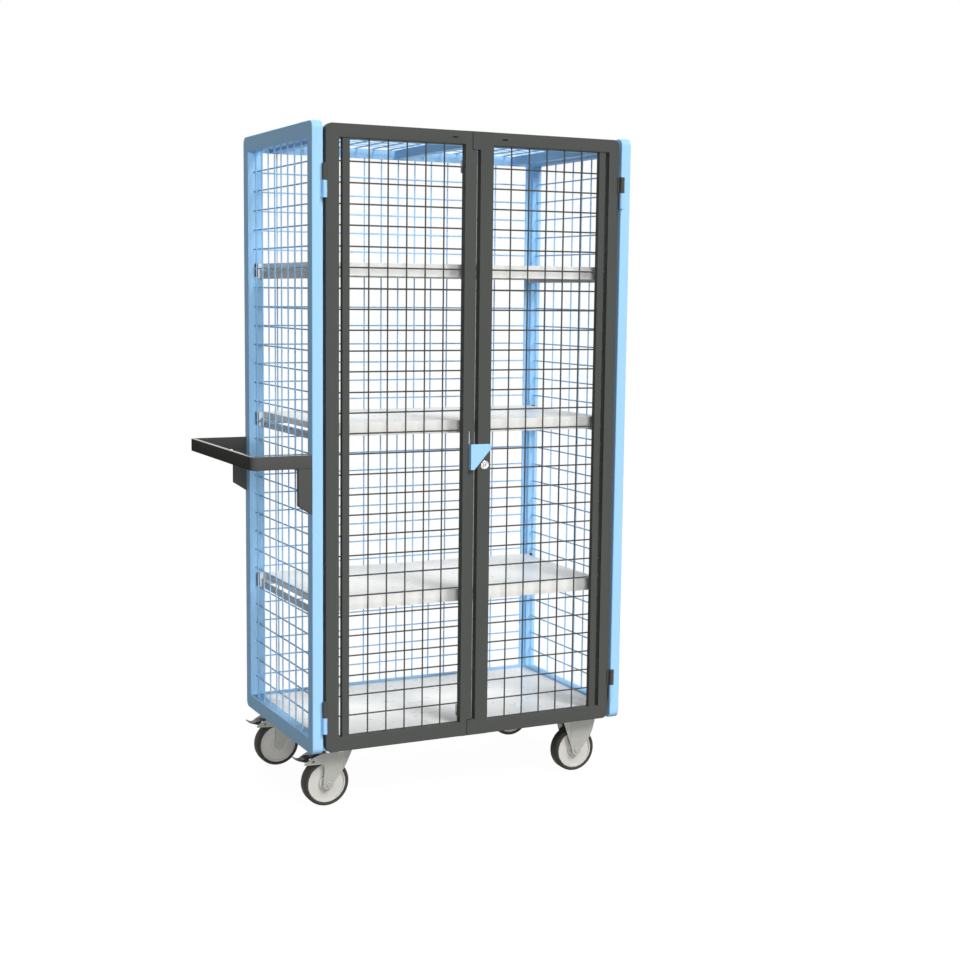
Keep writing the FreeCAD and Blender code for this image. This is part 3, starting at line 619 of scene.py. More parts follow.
@dataclass(frozen=True)
class Coated(Finish):
    """Coat whose shade wanders, with edges painted lighter as rubbed wear and as a highlight, and dust on its
    tops.

    Args:
        drift: how far the shade wanders.
        ripple: ripples or grains for each metre of the fine surface.
        rub_and_highlight: how much the edges are painted lighter, as rubbed wear and as a highlight.
        dust: how much dust lies on faces that look up.
        depth: depth of the ripples in metres.
        strength: strength of the ripples.
        bare: factor and lift that make the lighter colour of a rubbed edge, painted as wear and as a
            highlight.
    """

    drift: float = 0.08
    ripple: float = 650.0
    rub_and_highlight: float = 0.12
    dust: float = 0.06
    depth: float = 0.0002
    strength: float = 0.12
    bare: Span = (1.25, 0.05)

    def dress(self, kit: NodeKit, shader: bpy.types.Node) -> None:
        """Coat, then edges painted lighter as rubbed wear and highlight, then dust.

        Args:
            kit: kit of the material's tree.
            shader: the shader to feed.
        """
        coat = kit.use(Effects.coat(), Colour=self.shade(), Drift=self.drift, Gloss=self.gloss,
                       Ripple=self.ripple)
        # Edges painted lighter: rubbed wear, and a painted highlight along sharp convex edges.
        worn_and_highlit = kit.use(Effects.edges(), Colour=coat["Colour"], Bare=self.shade(*self.bare), Amount=self.rub_and_highlight)
        veil = kit.use(Effects.dust(), Colour=worn_and_highlit["Colour"], Amount=self.dust)
        kit.fill(shader, Base_Color=veil["Colour"], Roughness=coat["Roughness"])
        kit.relief(shader, coat["Height"], self.depth, self.strength)


@dataclass(frozen=True)
class Paint(Coated):
    """Sprayed paint or powder coat on steel, with a coat's usual values."""


@dataclass(frozen=True)
class Moulded(Coated):
    """Moulded plastic or rubber: a coat with a stronger grain, and more scuffs and painted highlight on its
    edges.
    """

    drift: float = 0.18
    ripple: float = 900.0
    rub_and_highlight: float = 0.15
    dust: float = 0.05
    strength: float = 0.25
    bare: Span = (1.3, 0.03)


@dataclass(frozen=True)
class Zinc(Finish):
    """Plated steel sheet and hardware.

    Args:
        metallic: share of uncoated metal.
        crystal: crystals for each metre.
        contrast: how far the crystals differ.
        rub_and_highlight: how much the edges are painted lighter, as rubbed wear and as a highlight.
    """

    metallic: float = 0.55
    crystal: float = 260.0
    contrast: float = 0.10
    rub_and_highlight: float = 0.3

    def dress(self, kit: NodeKit, shader: bpy.types.Node) -> None:
        """Crystals, then edges painted lighter as rubbed wear and highlight.

        Args:
            kit: kit of the material's tree.
            shader: the shader to feed.
        """
        cells = kit.use(Effects.crystals(), Colour=self.shade(), Contrast=self.contrast, Gloss=self.gloss,
                        Size=self.crystal)
        # Edges painted lighter: rubbed wear, and a painted highlight along sharp convex edges.
        worn_and_highlit = kit.use(Effects.edges(), Colour=cells["Colour"], Bare=self.shade(1.2), Amount=self.rub_and_highlight)
        kit.fill(shader, Base_Color=worn_and_highlit["Colour"], Roughness=cells["Roughness"], Metallic=self.metallic)
        kit.relief(shader, cells["Height"], depth=0.0001, strength=0.1)


@dataclass(frozen=True)
class Board(Finish):
    """Sealed pale board with a faint grain along the cart.

    Args:
        streak: how much the grain darkens the board.
        dust: how much dust lies on it.
        squeeze: how closely the streaks follow each other along X, Y and Z.
    """

    streak: float = 0.10
    dust: float = 0.08
    squeeze: Point = (1.2, 26.0, 26.0)

    def dress(self, kit: NodeKit, shader: bpy.types.Node) -> None:
        """Long streaks under a sealed coat.

        Args:
            kit: kit of the material's tree.
            shader: the shader to feed.
        """
        stretch = kit.add("ShaderNodeMapping", Vector=kit.place(), Scale=self.squeeze)
        streaks = kit.noise(stretch.outputs[0], scale=6.0, detail=6.0)
        grain = kit.blend(streaks, self.shade(), self.shade(1.0 - 2.5 * self.streak))
        coat = kit.use(Effects.coat(), Colour=grain, Drift=0.05, Gloss=self.gloss, Ripple=300.0)
        veil = kit.use(Effects.dust(), Colour=coat["Colour"], Amount=self.dust)
        kit.fill(shader, Base_Color=veil["Colour"], Roughness=coat["Roughness"])
        kit.relief(shader, coat["Height"], depth=0.00005, strength=0.05)


BLUE = Paint("sky_blue_paint", "blue_paint", (0.362, 0.645, 0.955), 0.42, 0.04)
GRAPHITE = Paint("graphite_paint", "dark_paint", (0.076, 0.080, 0.075), 0.55, 0.04)
HANDLE_GREY = Paint("handle_grey_paint", "dark_paint", (0.086, 0.087, 0.081), 0.55, 0.0, 1.5)
SHELF_WHITE = Paint("shelf_white_paint", "shelf_paint", (0.83, 0.83, 0.805), 0.3, 0.4, rub_and_highlight=0.05, dust=0.02)
RAIL_GREY = Paint("rail_grey_paint", "bracket_steel", (0.62, 0.63, 0.64), 0.35, 0.2)
STOP_BLACK = Paint("stop_black_paint", "black_steel", (0.03, 0.03, 0.03), 0.45, 0.2)
PEDAL_BLACK = Paint("pedal_black_paint", "black_steel", (0.025, 0.026, 0.027), 0.35, 0.5)
FORK_ZINC = Zinc("fork_zinc", "zinc", (0.40, 0.405, 0.375), 0.45, 0.3, metallic=0.15)
BOLT_ZINC = Zinc("bolt_zinc", "zinc", (0.68, 0.68, 0.66), 0.28, metallic=0.9, crystal=500.0)
LOCK_METAL = Zinc("lock_metal", "lock_metal", (0.60, 0.62, 0.62), 0.25, metallic=0.25, crystal=900.0,
                  contrast=0.04)
BAR_ZINC = replace(LOCK_METAL, name="latch_bar_zinc", slot="zinc")
RIM = Moulded("rim_plastic", "rim", (0.57, 0.555, 0.525), 0.45, 0.3, ripple=500.0)
TYRE = Moulded("tyre_rubber", "tyre", (0.042, 0.041, 0.036), 0.62, 0.2, ripple=1500.0, depth=0.0003)
BUSH = Moulded("bush_plastic", "bush", (0.78, 0.76, 0.70), 0.4, 0.4)
DECK = Board("deck_board_coat", "deck", (0.90, 0.90, 0.885), 0.3, 0.4, streak=0.015)


class Workshop:
    """Puts shells and finished copies of solids into the scene.

    Points closer than MERGE are one, edges shorter than LEAST_EDGE go, and faces wider than FLAT_WIDTH are
    shaded flat, all in metres. A normal with a part above SQUARE along one direction is square to it. Soft
    edges are rounded in EDGE_STEPS.
    """

    MERGE = 2e-6
    LEAST_EDGE = 1e-7
    FLAT_WIDTH = 0.004
    SQUARE = 0.99999
    SMOOTH_DEG = 32.0
    EDGE_STEPS = 2

    @staticmethod
    def piece(name: str, shell: Shell, finish: Finish, body: str, replaced: Sequence[str] = (),
              smooth_deg: float = SMOOTH_DEG) -> bpy.types.Object:
        """Make a piece of the cart from a shell.

        Args:
            name: name of the piece.
            shell: its closed skin, in millimetres.
            finish: its finish.
            body: the body that it rides on.
            replaced: nodes that it stands for.
            smooth_deg: edges that turn by less than this are shaded smooth.

        Returns:
            The new object.
        """
        mesh = bpy.data.meshes.new(name)
        mesh.from_pydata(row_metres(shell.points), [], shell.faces)
        Workshop.clean(mesh, outward=True)
        return Workshop.place(name, mesh, finish, body, replaced, smooth_deg)

    @staticmethod
    def clean(mesh: bpy.types.Mesh, outward: bool) -> None:
        """Merge doubled points.

        Args:
            mesh: the mesh to clean.
            outward: True to turn the faces outwards too.
        """
        work = bmesh.new()
        work.from_mesh(mesh)
        bmesh.ops.remove_doubles(work, verts=work.verts[:], dist=Workshop.MERGE)
        bmesh.ops.dissolve_degenerate(work, edges=work.edges[:], dist=Workshop.LEAST_EDGE)
        if outward:
            bmesh.ops.recalc_face_normals(work, faces=work.faces[:])
        work.to_mesh(mesh)
        work.free()

    @staticmethod
    def widths(mesh: bpy.types.Mesh) -> np.ndarray:
        """Width of each face, taken as twice its area over its outline's length.

        Args:
            mesh: the mesh to measure.

        Returns:
            The width of each face in metres.
        """
        areas, first = np.empty(len(mesh.polygons)), np.empty(len(mesh.polygons), np.int32)
        mesh.polygons.foreach_get("area", areas)
        mesh.polygons.foreach_get("loop_start", first)
        points, ends = np.empty(3 * len(mesh.vertices)), np.empty(2 * len(mesh.edges), np.int32)
        mesh.vertices.foreach_get("co", points)
        mesh.edges.foreach_get("vertices", ends)
        corners = np.empty(len(mesh.loops), np.int32)
        mesh.loops.foreach_get("edge_index", corners)
        pairs = points.reshape(-1, 3)[ends.reshape(-1, 2)]
        lengths = np.linalg.norm(pairs[:, 1] - pairs[:, 0], axis=1)
        return 2.0 * areas / np.add.reduceat(lengths[corners], first)

    @staticmethod
    def place(name: str, mesh: bpy.types.Mesh, finish: Finish, body: str, replaced: Sequence[str],
              smooth_deg: float) -> bpy.types.Object:
        """Link a mesh as a piece that rides on a body.

        Args:
            name: name of the piece.
            mesh: its mesh, in metres of the part's frame.
            finish: its finish.
            body: the body that it rides on.
            replaced: nodes that it stands for.
            smooth_deg: edges that turn by less than this are shaded smooth.

        Returns:
            The new object.
        """
        if finish.material().name not in mesh.materials:
            mesh.materials.clear()
            mesh.materials.append(finish.material())
        mesh.polygons.foreach_set("use_smooth", Workshop.widths(mesh) < Workshop.FLAT_WIDTH)
        mesh.set_sharp_from_angle(angle=math.radians(smooth_deg))
        made = bpy.data.objects.new(name, mesh)
        bpy.context.scene.collection.objects.link(made)
        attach(made, body)
        if replaced:
            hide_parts(*replaced)
        LOG.info("piece %s: %d faces on %s", name, len(mesh.polygons), body)
        return made

    @staticmethod
    def soften(made: bpy.types.Object, width: float, least_deg: float = 35.0) -> None:
        """Round a piece's sharp edges.

        Args:
            made: the piece.
            width: width of the rounding in millimetres.
            least_deg: edges that turn by less than this stay as they are.
        """
        bevel = made.modifiers.new("soft_edges", "BEVEL")
        bevel.width, bevel.segments = width / 1000.0, Workshop.EDGE_STEPS
        bevel.limit_method, bevel.angle_limit = "ANGLE", math.radians(least_deg)

    @staticmethod
    def copy(node: str, finish: Finish, body: str, edge: float,
             others: Sequence[tuple[Finish, Callable[[np.ndarray], np.ndarray]]] = ()) -> bpy.types.Object:
        """Finished copy of a solid: merged, shaded smooth where it is bent, with soft edges.

        Args:
            node: the node to copy, which the copy stands for.
            finish: its finish.
            body: the body that it rides on.
            edge: width of its soft edges in millimetres.
            others: further finishes, each with a test that picks its faces by their middles in millimetres.

        Returns:
            The new object.
        """
        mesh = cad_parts[node].data.copy()
        mesh.name = node + "_finished"
        for label in [item.name for item in mesh.attributes if item.name == "custom_normal"]:
            mesh.attributes.remove(mesh.attributes[label])
        mesh.materials.clear()
        mesh.materials.append(finish.material())
        middles, chosen = np.empty(len(mesh.polygons) * 3), np.zeros(len(mesh.polygons), np.int32)
        mesh.polygons.foreach_get("center", middles)
        for index, (second, picks) in enumerate(others, 1):
            mesh.materials.append(second.material())
            chosen[picks(middles.reshape(-1, 3) * 1000.0 + MIDDLE)] = index
        mesh.polygons.foreach_set("material_index", chosen)
        Workshop.clean(mesh, outward=False)
        made = Workshop.place(node + "_finished", mesh, finish, body, [node], Workshop.SMOOTH_DEG)
        normals = np.empty(3 * len(mesh.polygons))
        mesh.polygons.foreach_get("normal", normals)
        bent = np.abs(normals.reshape(-1, 3)).max(axis=1) < Workshop.SQUARE
        mesh.polygons.foreach_set("use_smooth", bent & (Workshop.widths(mesh) < Workshop.FLAT_WIDTH))
        Workshop.soften(made, edge)
        return made


def bitten(span: Span) -> Span:
    """An opening's span with the wires' bite into the tubes at both ends."""
    return span[0] - WIRE_BITE, span[1] + WIRE_BITE


@dataclass
class WirePanel:
    """Welded panel of round wires in two layers.

    Args:
        name: name of the panel.
        node: the node that it stands for.
        body: the body that it rides on.
        finish: its finish.
        across: direction across the panel.
        middle: place of the panel's middle plane along that direction.
        first_layer: -1 where the first list's wires lie on the low side, 1 where they lie on the high side.
        first: places of the wires of the first list, along the panel's first direction.
        second: places of the wires of the second list, along its second direction.
        first_span: ends of the first list's wires, along the second direction.
        second_spans: ends of the second list's wires, along the first direction.
        radius: radius of a wire.
        sink: distance of a layer's centres from the middle plane, as a share of the radius.
    """

    name: str
    node: str
    body: str
    finish: Finish
    across: Axis
    middle: float
    first_layer: int
    first: np.ndarray
    second: np.ndarray
    first_span: Span
    second_spans: list[Span]
    radius: float = 2.0
    sink: float = 0.94

    def bars(self, places: np.ndarray, fixed: int, run: int, span: Span, depth: float) -> Shell:
        """One layer of parallel wires.

        Args:
            places: where the wires are along the fixed direction.
            fixed: index of that direction.
            run: index of the direction that they run in.
            span: their ends.
            depth: place of their centres across the panel.

        Returns:
            The wires of the layer.
        """
        starts = np.zeros((len(places), 3))
        starts[:, fixed], starts[:, self.across.value] = places, depth
        ends = starts.copy()
        starts[:, run], ends[:, run] = span
        return round_bars(starts, ends, self.radius)

    def build(self) -> bpy.types.Object:
        """Both layers as one piece; they touch where they are welded.

        Returns:
            The new object.
        """
        one, two = self.across.others
        sink = self.radius * self.sink
        near, beyond = self.middle + self.first_layer * sink, self.middle - self.first_layer * sink
        layers = [self.bars(self.first, one, two, self.first_span, near)]
        layers += [self.bars(self.second, two, one, span, beyond) for span in self.second_spans]
        return Workshop.piece(self.name, join_shells(layers), self.finish, self.body, [self.node],
                              smooth_deg=60.0)


@dataclass
class Cage:
    """End frames, back, roof, floor and deck with their wire panels.

    Args:
        width: outer width of the cage.
        post: width of an end frame.
        end_first: Y of the first upright wire of each end.
        end_pitch: step of the upright wires of the ends.
        end_count: number of upright wires in an end.
        end_heights: heights of the opening in an end frame.
        end_depths: Y of the opening in an end frame.
        back_y: Y of the middle of the back's wires.
        back_count: number of upright wires in the back.
        back_heights: ends of the back's upright wires.
        back_widths: ends of the back's level wires.
        roof_z: height of the middle of the roof's wires.
        roof_edge: Y of the roof's front edge.
        roof_start: steps from there to the first wire across the cart.
        roof_counts: number of wires along the depth, and of wires along the width.
        roof_depths: ends of the roof's wires along the depth.
        roof_widths: ends of the roof's wires along the width.
    """

    width: float = 913.0
    post: float = 29.0
    end_first: dict[str, float] = field(default_factory=lambda: {"left": 58.6, "right": 84.5})
    end_pitch: float = 51.8
    end_count: int = 9
    end_heights: Span = (198.5, 1718.0)
    end_depths: Span = (33.0, 506.0)
    back_y: float = 524.9
    back_count: int = 15
    back_heights: Span = (192.5, 1724.5)
    back_widths: Span = (38.0, 875.0)
    roof_z: float = 1747.8
    roof_edge: float = 27.0
    roof_start: float = 0.9
    roof_counts: tuple[int, int] = (16, 9)
    roof_depths: Span = (28.0, 545.0)
    roof_widths: Span = (29.5, 883.5)

    def about_middle(self, count: int) -> np.ndarray:
        """X of a number of wires, one pitch apart and even about the cage's middle."""
        return self.width / 2 + WIRE_PITCH * (np.arange(count) - (count - 1) / 2)

    def panels(self) -> list[WirePanel]:
        """The wire panels of both ends, the back and the roof.

        Returns:
            The four panels.
        """
        found = []
        for side, middle, layer in (("left", self.post / 2, -1), ("right", self.width - self.post / 2, 1)):
            uprights = self.end_first[side] + self.end_pitch * np.arange(self.end_count)
            found.append(WirePanel(f"{side}_end_wires", f"{side}_end_mesh", "cage", BLUE, Axis.X, middle,
                                   layer, uprights, WIRE_LEVELS, bitten(self.end_heights),
                                   [bitten(self.end_depths)]))
        found.append(WirePanel("back_wires", "back_mesh", "cage", BLUE, Axis.Y, self.back_y, 1,
                               self.about_middle(self.back_count), WIRE_LEVELS, self.back_heights,
                               [self.back_widths]))
        along, across = self.roof_counts
        roof_y = self.roof_edge + WIRE_PITCH * (np.arange(across) + self.roof_start)
        found.append(WirePanel("roof_wires", "roof_mesh", "cage", BLUE, Axis.Z, self.roof_z, -1,
                               self.about_middle(along), roof_y, self.roof_depths, [self.roof_widths]))
        return found

    def build(self) -> None:
        """Frames as finished copies of their solids, panels of round wires, and the deck."""
        for node in ("left_end_frame", "right_end_frame", "back_frame", "roof_frame", "floor_frame"):
            Workshop.copy(node, BLUE, "cage", edge=0.7)
        for panel in self.panels():
            panel.build()
        Workshop.copy("deck_board", DECK, "cage", edge=1.0)
        Workshop.copy("frame_bolts", BOLT_ZINC, "cage", edge=0.5)


@dataclass
class Shelves:
    """Three trays on hooked side rails with pale end plates and black stops.

    Args:
        levels: names of the shelves.
        stop_side: distance from the cage's middle past which a face at an end plate belongs to a stop.
        plate_side: distance from the cage's middle past which a face belongs to an end plate.
        middle: X of the cage's middle.
        plates: Y between which the end plates and stops lie.
        plate: thickness of an end plate with a little room.
    """

    levels: tuple[str, ...] = ("lower", "middle", "upper")
    stop_side: float = 431.6
    plate_side: float = 417.4
    middle: float = 456.5
    plates: Span = (35.0, 504.0)
    plate: float = 6.2

    def is_stop(self, middles: np.ndarray) -> np.ndarray:
        """Pick the stops, which lie outside the end plates.

        Args:
            middles: middles of the faces.

        Returns:
            True for each face of a stop.
        """
        between = (middles[:, 1] > self.plates[0]) & (middles[:, 1] < self.plates[1])
        return between & (np.abs(middles[:, 0] - self.middle) > self.stop_side)

    def is_end_plate(self, middles: np.ndarray) -> np.ndarray:
        """Pick the end plates, which lie close to either post.

        Args:
            middles: middles of the faces.

        Returns:
            True for each face of an end plate.
        """
        inside = np.minimum(middles[:, 1] - self.plates[0], self.plates[1] - middles[:, 1])
        beside = np.abs(middles[:, 0] - self.middle) > self.plate_side
        return beside & (inside > 0.0) & (inside < self.plate)

    def build(self) -> None:
        """Trays and side rails as finished copies of their solids."""
        for level in self.levels:
            Workshop.copy(f"{level}_shelf", SHELF_WHITE, "cage", edge=0.6)
            Workshop.copy(f"{level}_shelf_brackets", RAIL_GREY, "cage", edge=0.4,
                          others=[(SHELF_WHITE, self.is_end_plate), (STOP_BLACK, self.is_stop)])


@dataclass
class PushHandle:
    """Flat bar bent round three sides, with a leg under each arm.

    Args:
        reach: distance of the bar's outer face from the cage.
        thickness: thickness of the bar.
        bottom: height of its lower edge.
        top: height of its upper edge.
        bend: outer radius of its bends.
        edge: radius of its edges.
        leg_width: width of a leg.
        leg_foot: heights of a leg's slanted foot, at the cage and at its free edge.
    """

    reach: float = 158.5
    thickness: float = 12.0
    bottom: float = 900.0
    top: float = 934.0
    bend: float = 16.0
    edge: float = 1.6
    leg_width: float = 37.0
    leg_foot: Span = (782.5, 806.0)

    def bow(self) -> Shell:
        """A rounded rectangle carried along the arms, the two bends and the outer bar.

        Returns:
            The bar's skin.
        """
        half = self.thickness / 2
        line = rounded([(0, half), (half - self.reach, half), (half - self.reach, CAGE_DEPTH - half),
                        (0, CAGE_DEPTH - half)], [0, self.bend - half, self.bend - half, 0], 14, closed=False)
        ahead = np.gradient(line, axis=0)
        ahead[0], ahead[-1] = line[1] - line[0], line[-1] - line[-2]
        ahead /= np.linalg.norm(ahead, axis=1, keepdims=True)
        side = np.stack([-ahead[:, 1], ahead[:, 0]], axis=1)
        section = rounded([(-half, self.bottom), (half, self.bottom), (half, self.top), (-half, self.top)],
                          [self.edge] * 4, 4)
        loops = np.empty((len(line), len(section), 3))
        loops[:, :, :2] = line[:, None] + side[:, None] * section[None, :, :1]
        loops[:, :, 1] = np.clip(loops[:, :, 1], 0.0, CAGE_DEPTH)
        loops[:, :, 2] = section[:, 1]
        return carried(loops)

    def leg(self, near: float) -> Shell:
        """Plate with a slanted foot, carried across with its free edges drawn in at both faces.

        Args:
            near: Y of the plate's lower face.

        Returns:
            The leg's skin.
        """
        corners = np.array([(-self.leg_width, self.bottom), (0.0, self.bottom), (0.0, self.leg_foot[0]),
                            (-self.leg_width, self.leg_foot[1])])
        drawn_in = self.edge * np.array([(1.0, 0.0), (0.0, 0.0), (0.0, 1.0), (1.0, 1.3)])
        turn = np.linspace(0, math.pi / 2, 4)
        inset = np.concatenate([1 - np.sin(turn), (1 - np.sin(turn))[::-1]])
        cross = np.concatenate([self.edge * (1 - np.cos(turn)),
                                self.thickness - self.edge * (1 - np.cos(turn))[::-1]])
        loops = np.empty((len(inset), 4, 3))
        loops[:, :, [0, 2]] = corners[None] + inset[:, None, None] * drawn_in[None]
        loops[:, :, 1] = near + cross[:, None]
        return carried(loops)

    def build(self) -> None:
        """The bow and both legs as one welded piece."""
        shell = join_shells([self.bow(), self.leg(0.0), self.leg(CAGE_DEPTH - self.thickness)])
        Workshop.piece("push_handle_bar", shell, HANDLE_GREY, "cage", ["push_handle"])


@dataclass
class Doors:
    """Two hinged doors with wire panels, hinges, latch and lock.

    Args:
        plane: Y of the middle of the wire panels.
        rails: heights of the opening between the rails.
        openings: X of each door's opening, and of the strip beside its hinge stile.
        uprights: X of each door's first upright wire, and the step to the next.
        count: number of upright wires in a door.
        lock: middle of the lock on the front of its door.
    """

    plane: float = 10.5
    rails: Span = (199.5, 1719.5)
    openings: dict[str, list[Span]] = field(default_factory=lambda: {
        "left": [(100.9, 418.0), (71.4, 80.9)], "right": [(498.5, 816.0), (836.0, 845.5)]})
    uprights: dict[str, Span] = field(default_factory=lambda: {"left": (154.4, 51.8), "right": (554.4, 52.5)})
    count: int = 5
    lock: Point = (481.3, 0.0, 891.5)

    def panel(self, side: str) -> WirePanel:
        """The wire panel of a door, which also closes the strip beside the hinge stile.

        Args:
            side: left or right.

        Returns:
            The panel.
        """
        door, (first, step) = f"{side}_door", self.uprights[side]
        return WirePanel(f"{door}_wires", f"{door}_mesh", door, GRAPHITE, Axis.Y, self.plane, -1,
                         first + step * np.arange(self.count), WIRE_LEVELS, bitten(self.rails),
                         [bitten(span) for span in self.openings[side]])

    def lock_face(self) -> Shell:
        """Round lock housing: a domed collar turned about the plug's axis.

        Returns:
            The collar's skin.
        """
        collar = rounded([(5.05, 16.0), (5.05, -4.4), (6.4, -5.0), (10.6, -4.4), (12.6, -2.2), (12.6, 0.0),
                          (9.0, 0.0), (9.0, 16.0)], [0.1, 0.4, 0.6, 1.6, 1.2, 0.1, 0.1, 0.1], 4)
        return turned(collar, self.lock, segments=48)

    def build(self) -> None:
        """Frames, panels, hinges, latch and lock."""
        for side in self.uprights:
            self.panel(side).build()
        for side in self.uprights:
            Workshop.copy(f"{side}_door_frame", GRAPHITE, f"{side}_door", edge=0.9)
            Workshop.copy(f"{side}_door_knuckles", GRAPHITE, f"{side}_door", edge=0.6)
        Workshop.copy("frame_hinge_knuckles", BLUE, "cage", edge=0.6)
        Workshop.copy("hinge_pins", BOLT_ZINC, "cage", edge=0.5)
        Workshop.copy("latch_plate", BLUE, "latch", edge=0.5)
        Workshop.copy("latch_bar", BAR_ZINC, "latch", edge=0.4)
        Workshop.copy("latch_keepers", BOLT_ZINC, "cage", edge=0.4)
        Workshop.piece("lock_collar", self.lock_face(), LOCK_METAL, "right_door", ["lock_body"])
        Workshop.copy("lock_plug", LOCK_METAL, "lock", edge=0.25)
        Workshop.copy("lock_cam", BOLT_ZINC, "lock", edge=0.3)


@dataclass
class Wheel:
    """Rubber tyre on a moulded rim with a raised boss.

    Args:
        name: name of the wheel.
        x: X of its axle.
        y: Y of its middle.
        radius: radius of the tyre.
        half: half of the tyre's width.
        rim: radius of the rim.
        clear: how far the tread stays inside the tyre's radius.
    """

    name: str
    x: float
    y: float
    radius: float = AXLE_Z
    half: float = 20.0
    rim: float = 52.5
    clear: float = 0.03

    @staticmethod
    def both_sides(side: np.ndarray) -> np.ndarray:
        """A profile and its mirror image on the other side, as one loop."""
        return np.concatenate([side, side[::-1] * [1.0, -1.0]])

    def tyre_skin(self) -> Shell:
        """Turned ring with a flat side wall, wide shoulders and a slightly crowned tread.

        Returns:
            The tyre's skin.
        """
        half, radius = self.half, self.radius - self.clear
        side = rounded([(self.rim, 0.0), (self.rim, half - 1.2), (self.rim + 2.6, half),
                        (radius - 5.2, half - 0.4), (radius - 0.4, half - 6.5), (radius, 0.0)],
                       [0.0, 1.0, 1.5, 4.0, 7.0, 0.0], 6, closed=False)
        return turned(self.both_sides(side), (self.x, self.y, self.radius), segments=96)

    def rim_skin(self) -> Shell:
        """Turned rim: raised outer ring, thin groove, shallow disc and round boss.

        Returns:
            The rim's skin.
        """
        side = rounded([(7.5, 0.0), (7.5, 17.5), (19.6, 17.5), (21.4, 15.0), (22.0, 12.0), (46.0, 11.4),
                        (46.8, 11.8), (47.4, 10.8), (48.2, 15.2), (self.rim - 0.7, 15.4), (self.rim, 14.6),
                        (self.rim, 0.0)],
                       [0.0, 0.6, 1.6, 1.5, 1.2, 0.8, 0.2, 0.2, 0.7, 0.5, 0.4, 0.0], 5, closed=False)
        return turned(self.both_sides(side), (self.x, self.y, self.radius), segments=96)

    def build(self) -> None:
        """Tyre and rim as turned pieces, and a finished copy of the bush."""
        body = f"{self.name}_wheel"
        Workshop.piece(f"{self.name}_tyre_ring", self.tyre_skin(), TYRE, body, [f"{self.name}_tyre"],
                       smooth_deg=40.0)
        Workshop.piece(f"{self.name}_rim_disc", self.rim_skin(), RIM, body, [f"{self.name}_hub"],
                       smooth_deg=40.0)
        Workshop.copy(f"{self.name}_bush", BUSH, body, edge=0.4)


@dataclass
class ForkLeg:
    """Pressed leg of a fork: a sheet whose edges fold towards the wheel, with a round eye for the axle.

    Args:
        left: X and Z of the left edge from the eye upwards, a row for each point.
        right: X and Z of the right edge from the eye upwards, a row for each point.
        axle_x: X of the axle.
        flat: X between which the sheet is flat.
        reach: X at which each fold would have its full depth.
        outer: Y of the outer face.
        inward: 1 where the wheel is on the higher side, -1 where it is on the lower side.
        eye: radius of the eye.
        sheet: thickness of the sheet.
        fold: full depth of a fold.
        crease: depth of the pressed line where a fold starts.
        crease_half: half of the pressed line's width.
        rows: number of sections above the axle, besides those at the edges' points.
        eye_rows: number of sections round the lower half of the eye.
        columns: number of points across the sheet.
    """

    left: np.ndarray
    right: np.ndarray
    axle_x: float
    flat: Span
    reach: Span
    outer: float
    inward: int
    eye: float = 14.0
    sheet: float = 3.0
    fold: float = 6.0
    crease: float = 2.4
    crease_half: float = 1.8
    rows: int = 60
    eye_rows: int = 12
    columns: int = 90

    def heights(self) -> np.ndarray:
        """Heights of the sections: round the lower half of the eye, then every millimetre or so.

        Returns:
            The heights from the bottom up.
        """
        turn = np.linspace(0.12, 1.0, self.eye_rows) * math.pi / 2
        eye = AXLE_Z - self.eye * np.cos(turn)
        edges = np.concatenate([self.left, self.right])[:, 1]
        above = np.unique(np.concatenate([edges, np.linspace(AXLE_Z, edges.max(), self.rows)]))
        return np.concatenate([eye, above[above > AXLE_Z + 1e-6]])

    def edge(self, points: np.ndarray, z: np.ndarray, side: int) -> np.ndarray:
        """X of an edge at each height: the line through the points, and below the axle the eye's circle.

        Args:
            points: X and Z of the edge.
            z: the heights.
            side: -1 for the left edge, 1 for the right one.

        Returns:
            X at each height.
        """
        low = np.clip(AXLE_Z - z, 0.0, self.eye)
        circle = self.axle_x + side * np.sqrt(self.eye ** 2 - low ** 2)
        return np.where(z < AXLE_Z, circle, np.interp(z, points[:, 1], points[:, 0]))

    def depth(self, x: np.ndarray) -> np.ndarray:
        """How far the sheet is folded in: nothing on the flat, a pressed line, then rising evenly.

        Args:
            x: places across the sheet.

        Returns:
            Depth at each place.
        """
        low = np.clip((self.flat[0] - x) / (self.flat[0] - self.reach[0]), 0.0, 1.0)
        high = np.clip((x - self.flat[1]) / (self.reach[1] - self.flat[1]), 0.0, 1.0)
        away = np.minimum(np.abs(x - self.flat[0]), np.abs(x - self.flat[1]))
        line = np.clip(1.0 - away / self.crease_half, 0.0, 1.0)
        return self.fold * np.maximum(low, high) + self.crease * line

    def skin(self) -> Shell:
        """Flat loop round the sheet at each height, carried from the eye to the top.

        Returns:
            The leg's skin.
        """
        z = self.heights()
        first, last = self.edge(self.left, z, -1), self.edge(self.right, z, 1)
        share = np.linspace(0.0, 1.0, self.columns)
        x = first[:, None] + (last - first)[:, None] * share[None]
        face = self.outer + self.inward * self.depth(x)
        back = face + self.inward * self.sheet
        loops = np.empty((len(z), 2 * len(share), 3))
        loops[:, :, 0] = np.concatenate([x, x[:, ::-1]], axis=1)
        loops[:, :, 1] = np.concatenate([face, back[:, ::-1]], axis=1)
        loops[:, :, 2] = z[:, None]
        return carried(loops)


def fork_legs(left: np.ndarray, right: np.ndarray, axle_x: float, flat: Span, reach: Span,
              y: float) -> list[Shell]:
    """Both legs of a fork, alike and facing each other.

    Args:
        left: X and Z of the legs' left edge.
        right: X and Z of their right edge.
        axle_x: X of the axle.
        flat: X between which the sheets are flat.
        reach: X at which each fold would have its full depth.
        y: Y of the fork's middle.

    Returns:
        The front leg and the back leg.
    """
    return [ForkLeg(left, right, axle_x, flat, reach, y - inward * FORK_HALF, inward).skin()
            for inward in (1, -1)]


